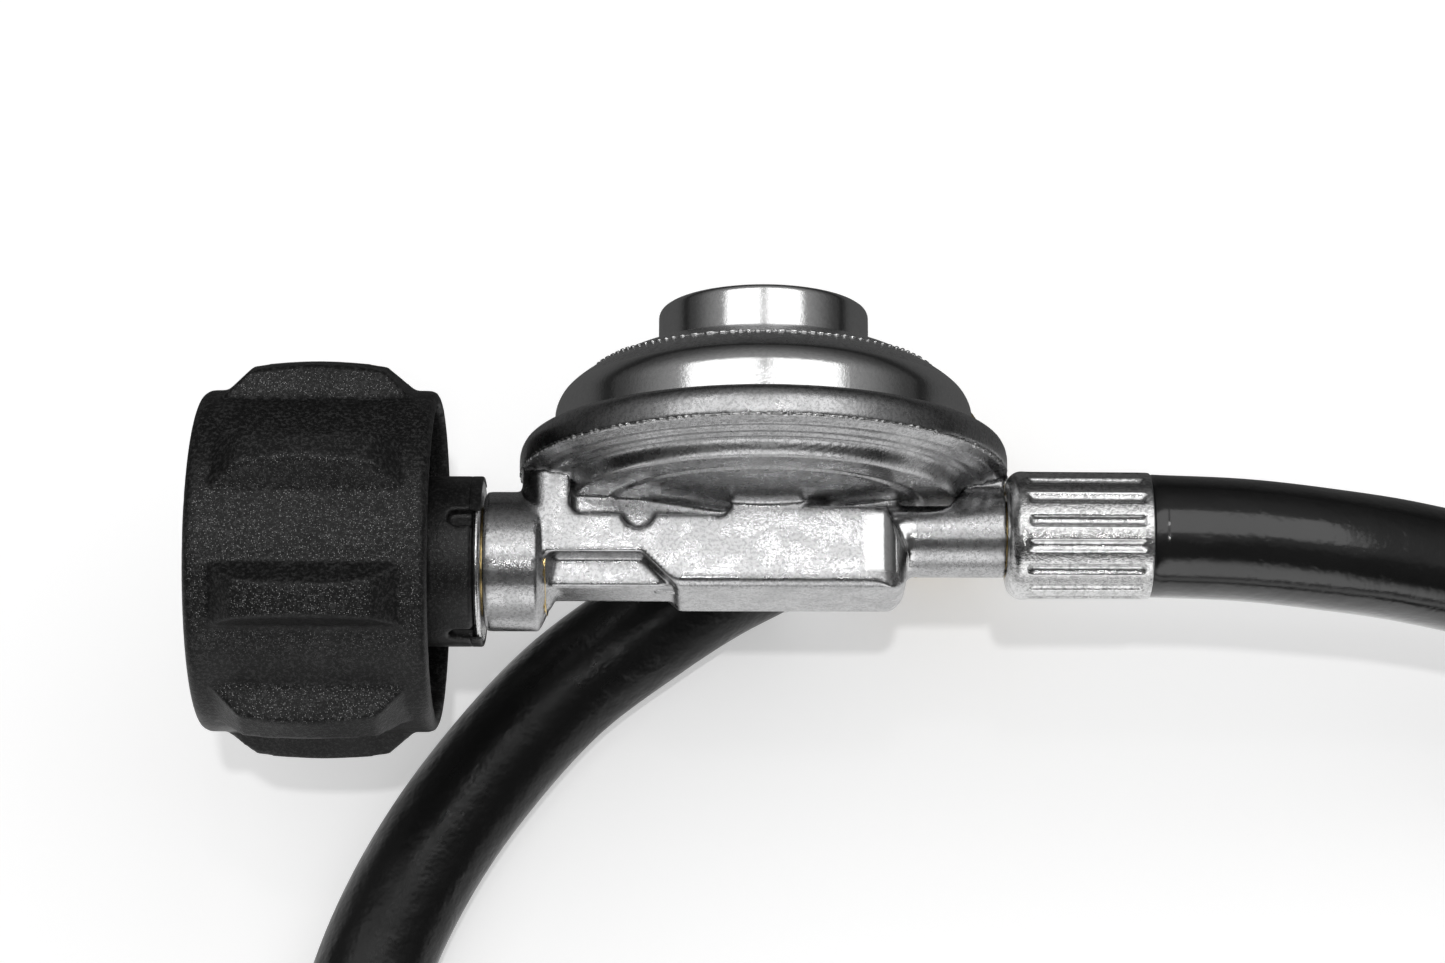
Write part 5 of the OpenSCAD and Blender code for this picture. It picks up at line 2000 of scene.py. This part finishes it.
@dataclass(frozen=True)
class DiaphragmSkin:
    """The rubber diaphragm, cut in sectors.

    Attributes:
        sectors: Number of sectors.
        plate_r: Not used.
        clamp_r: Not used.
    """

    sectors: int = 8
    plate_r: float = 19.2
    clamp_r: float = 24.9

    def build(self, shop: Workshop) -> None:
        """Cuts the sectors by planes through the axis.

        Args:
            shop: The workshop.
        """
        node = shop.nodes["diaphragm"]
        low, high = (np.array(corner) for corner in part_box("diaphragm"))
        middle = (low + high) / 2
        half = math.pi / self.sectors
        for number in range(self.sectors):
            turn = 2 * half * number
            sides = [turn + half + math.pi / 2, turn - half - math.pi / 2]
            normals = [np.array([math.cos(t), 0.0, math.sin(t)]) for t in sides]
            name = f"diaphragm_sector_{number + 1}"
            piece = cut_out(name, node, [(middle, normal) for normal in normals])
            Finish.DIAPHRAGM.dress(piece)
            if number == 0:
                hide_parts("diaphragm")
            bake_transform(piece)
            LOG.info("%s: %d faces", name, len(piece.data.polygons))


@dataclass(frozen=True)
class SpringRun:
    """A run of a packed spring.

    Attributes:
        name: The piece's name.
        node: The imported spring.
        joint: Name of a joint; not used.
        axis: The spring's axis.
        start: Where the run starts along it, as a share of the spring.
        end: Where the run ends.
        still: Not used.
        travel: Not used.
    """

    name: str
    node: str
    joint: str
    axis: np.ndarray
    start: float
    end: float
    still: float
    travel: float

    def build(self, shop: Workshop) -> None:
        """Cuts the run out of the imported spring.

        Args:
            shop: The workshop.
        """
        low, high = (np.array(corner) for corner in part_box(self.node))
        length = float((high - low) @ self.axis)
        middle = (low + high) / 2
        planes = [
            (middle + (share - 0.5) * length * self.axis, side * self.axis)
            for share, side in ((self.start, -1), (self.end, 1))
            if 0 < share < 1
        ]
        piece = cut_out(self.name, shop.nodes[self.node], planes)
        stands_for = (self.node,) if self.start == 0 else ()
        shop.fit(piece, "regulator", "spring_steel", Finish.SPRING, *stands_for)
        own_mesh(piece)


SPRING_RUNS: tuple[SpringRun, ...] = (
    SpringRun("spring_lower", "main_spring", "stack_lift", Y_AXIS, 0.0, 0.5, 0.5, 1.5),
    SpringRun("spring_upper", "main_spring", "spring_cap_slide", Y_AXIS, 0.5, 1.0, 0.5, 2.1),
    SpringRun("limiter_coil", "limiter_spring", "limiter_slide", X_AXIS, 0.0, 1.0, 1.0, 2.0),
)


@dataclass(frozen=True)
class Inside:
    """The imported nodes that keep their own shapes.

    Attributes:
        finishes: The finish of each.
    """

    finishes: dict[str, Finish] = field(
        default_factory=lambda: {
            "vent_screen": Finish.SCREEN,
            "diaphragm_plate": Finish.STEEL,
            "diaphragm_post": Finish.BRASS,
            "backing_washer": Finish.STEEL,
            "spring_seat": Finish.STEEL,
            "adjusting_plug": Finish.PLUG,
            "lever": Finish.STEEL,
            "lever_pin": Finish.STEEL,
            "seat_holder": Finish.BRASS,
            "seat_disc": Finish.SEAL,
            "orifice": Finish.BRASS,
            "inlet_nipple": Finish.BRASS,
            "nose_seal": Finish.SEAL,
            "nipple_o_ring": Finish.SEAL,
            "limiter_poppet": Finish.BRASS,
            "limiter_retainer": Finish.STEEL,
            "hose_barb": Finish.BRASS,
            "flare_nipple": Finish.BRASS,
        }
    )

    def build(self, shop: Workshop) -> None:
        """Dresses each node.

        Args:
            shop: The workshop.
        """
        for name, finish in self.finishes.items():
            finish.dress(shop.nodes[name])
            LOG.info("%s: %s", name, finish.value.name)


def main() -> None:
    """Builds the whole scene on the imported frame."""
    logging.basicConfig(level=logging.INFO, format="%(name)s: %(message)s", stream=sys.stdout)
    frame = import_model()
    shop = Workshop(frame["nodes"])
    layout = shop.layout
    build_groups()
    Studio().build(layout.disc_x - layout.origin_x)
    FlareEnd().build(shop)
    Hose().build(shop)
    Casting().build(shop)
    Bonnet().build(shop)
    start = layout.outlet(layout.neck_end + layout.ferrule_gap)
    length, radius = layout.ferrule_length, layout.ferrule_r
    Ferrule("outlet_ferrule_sleeve", "outlet_ferrule", start, X_AXIS, length, radius).build(shop)
    Inlet().build(shop)
    for run in SPRING_RUNS:
        run.build(shop)
    DiaphragmSkin().build(shop)
    Inside().build(shop)
    bpy.context.view_layer.update()


if __name__ == "__main__":
    main()
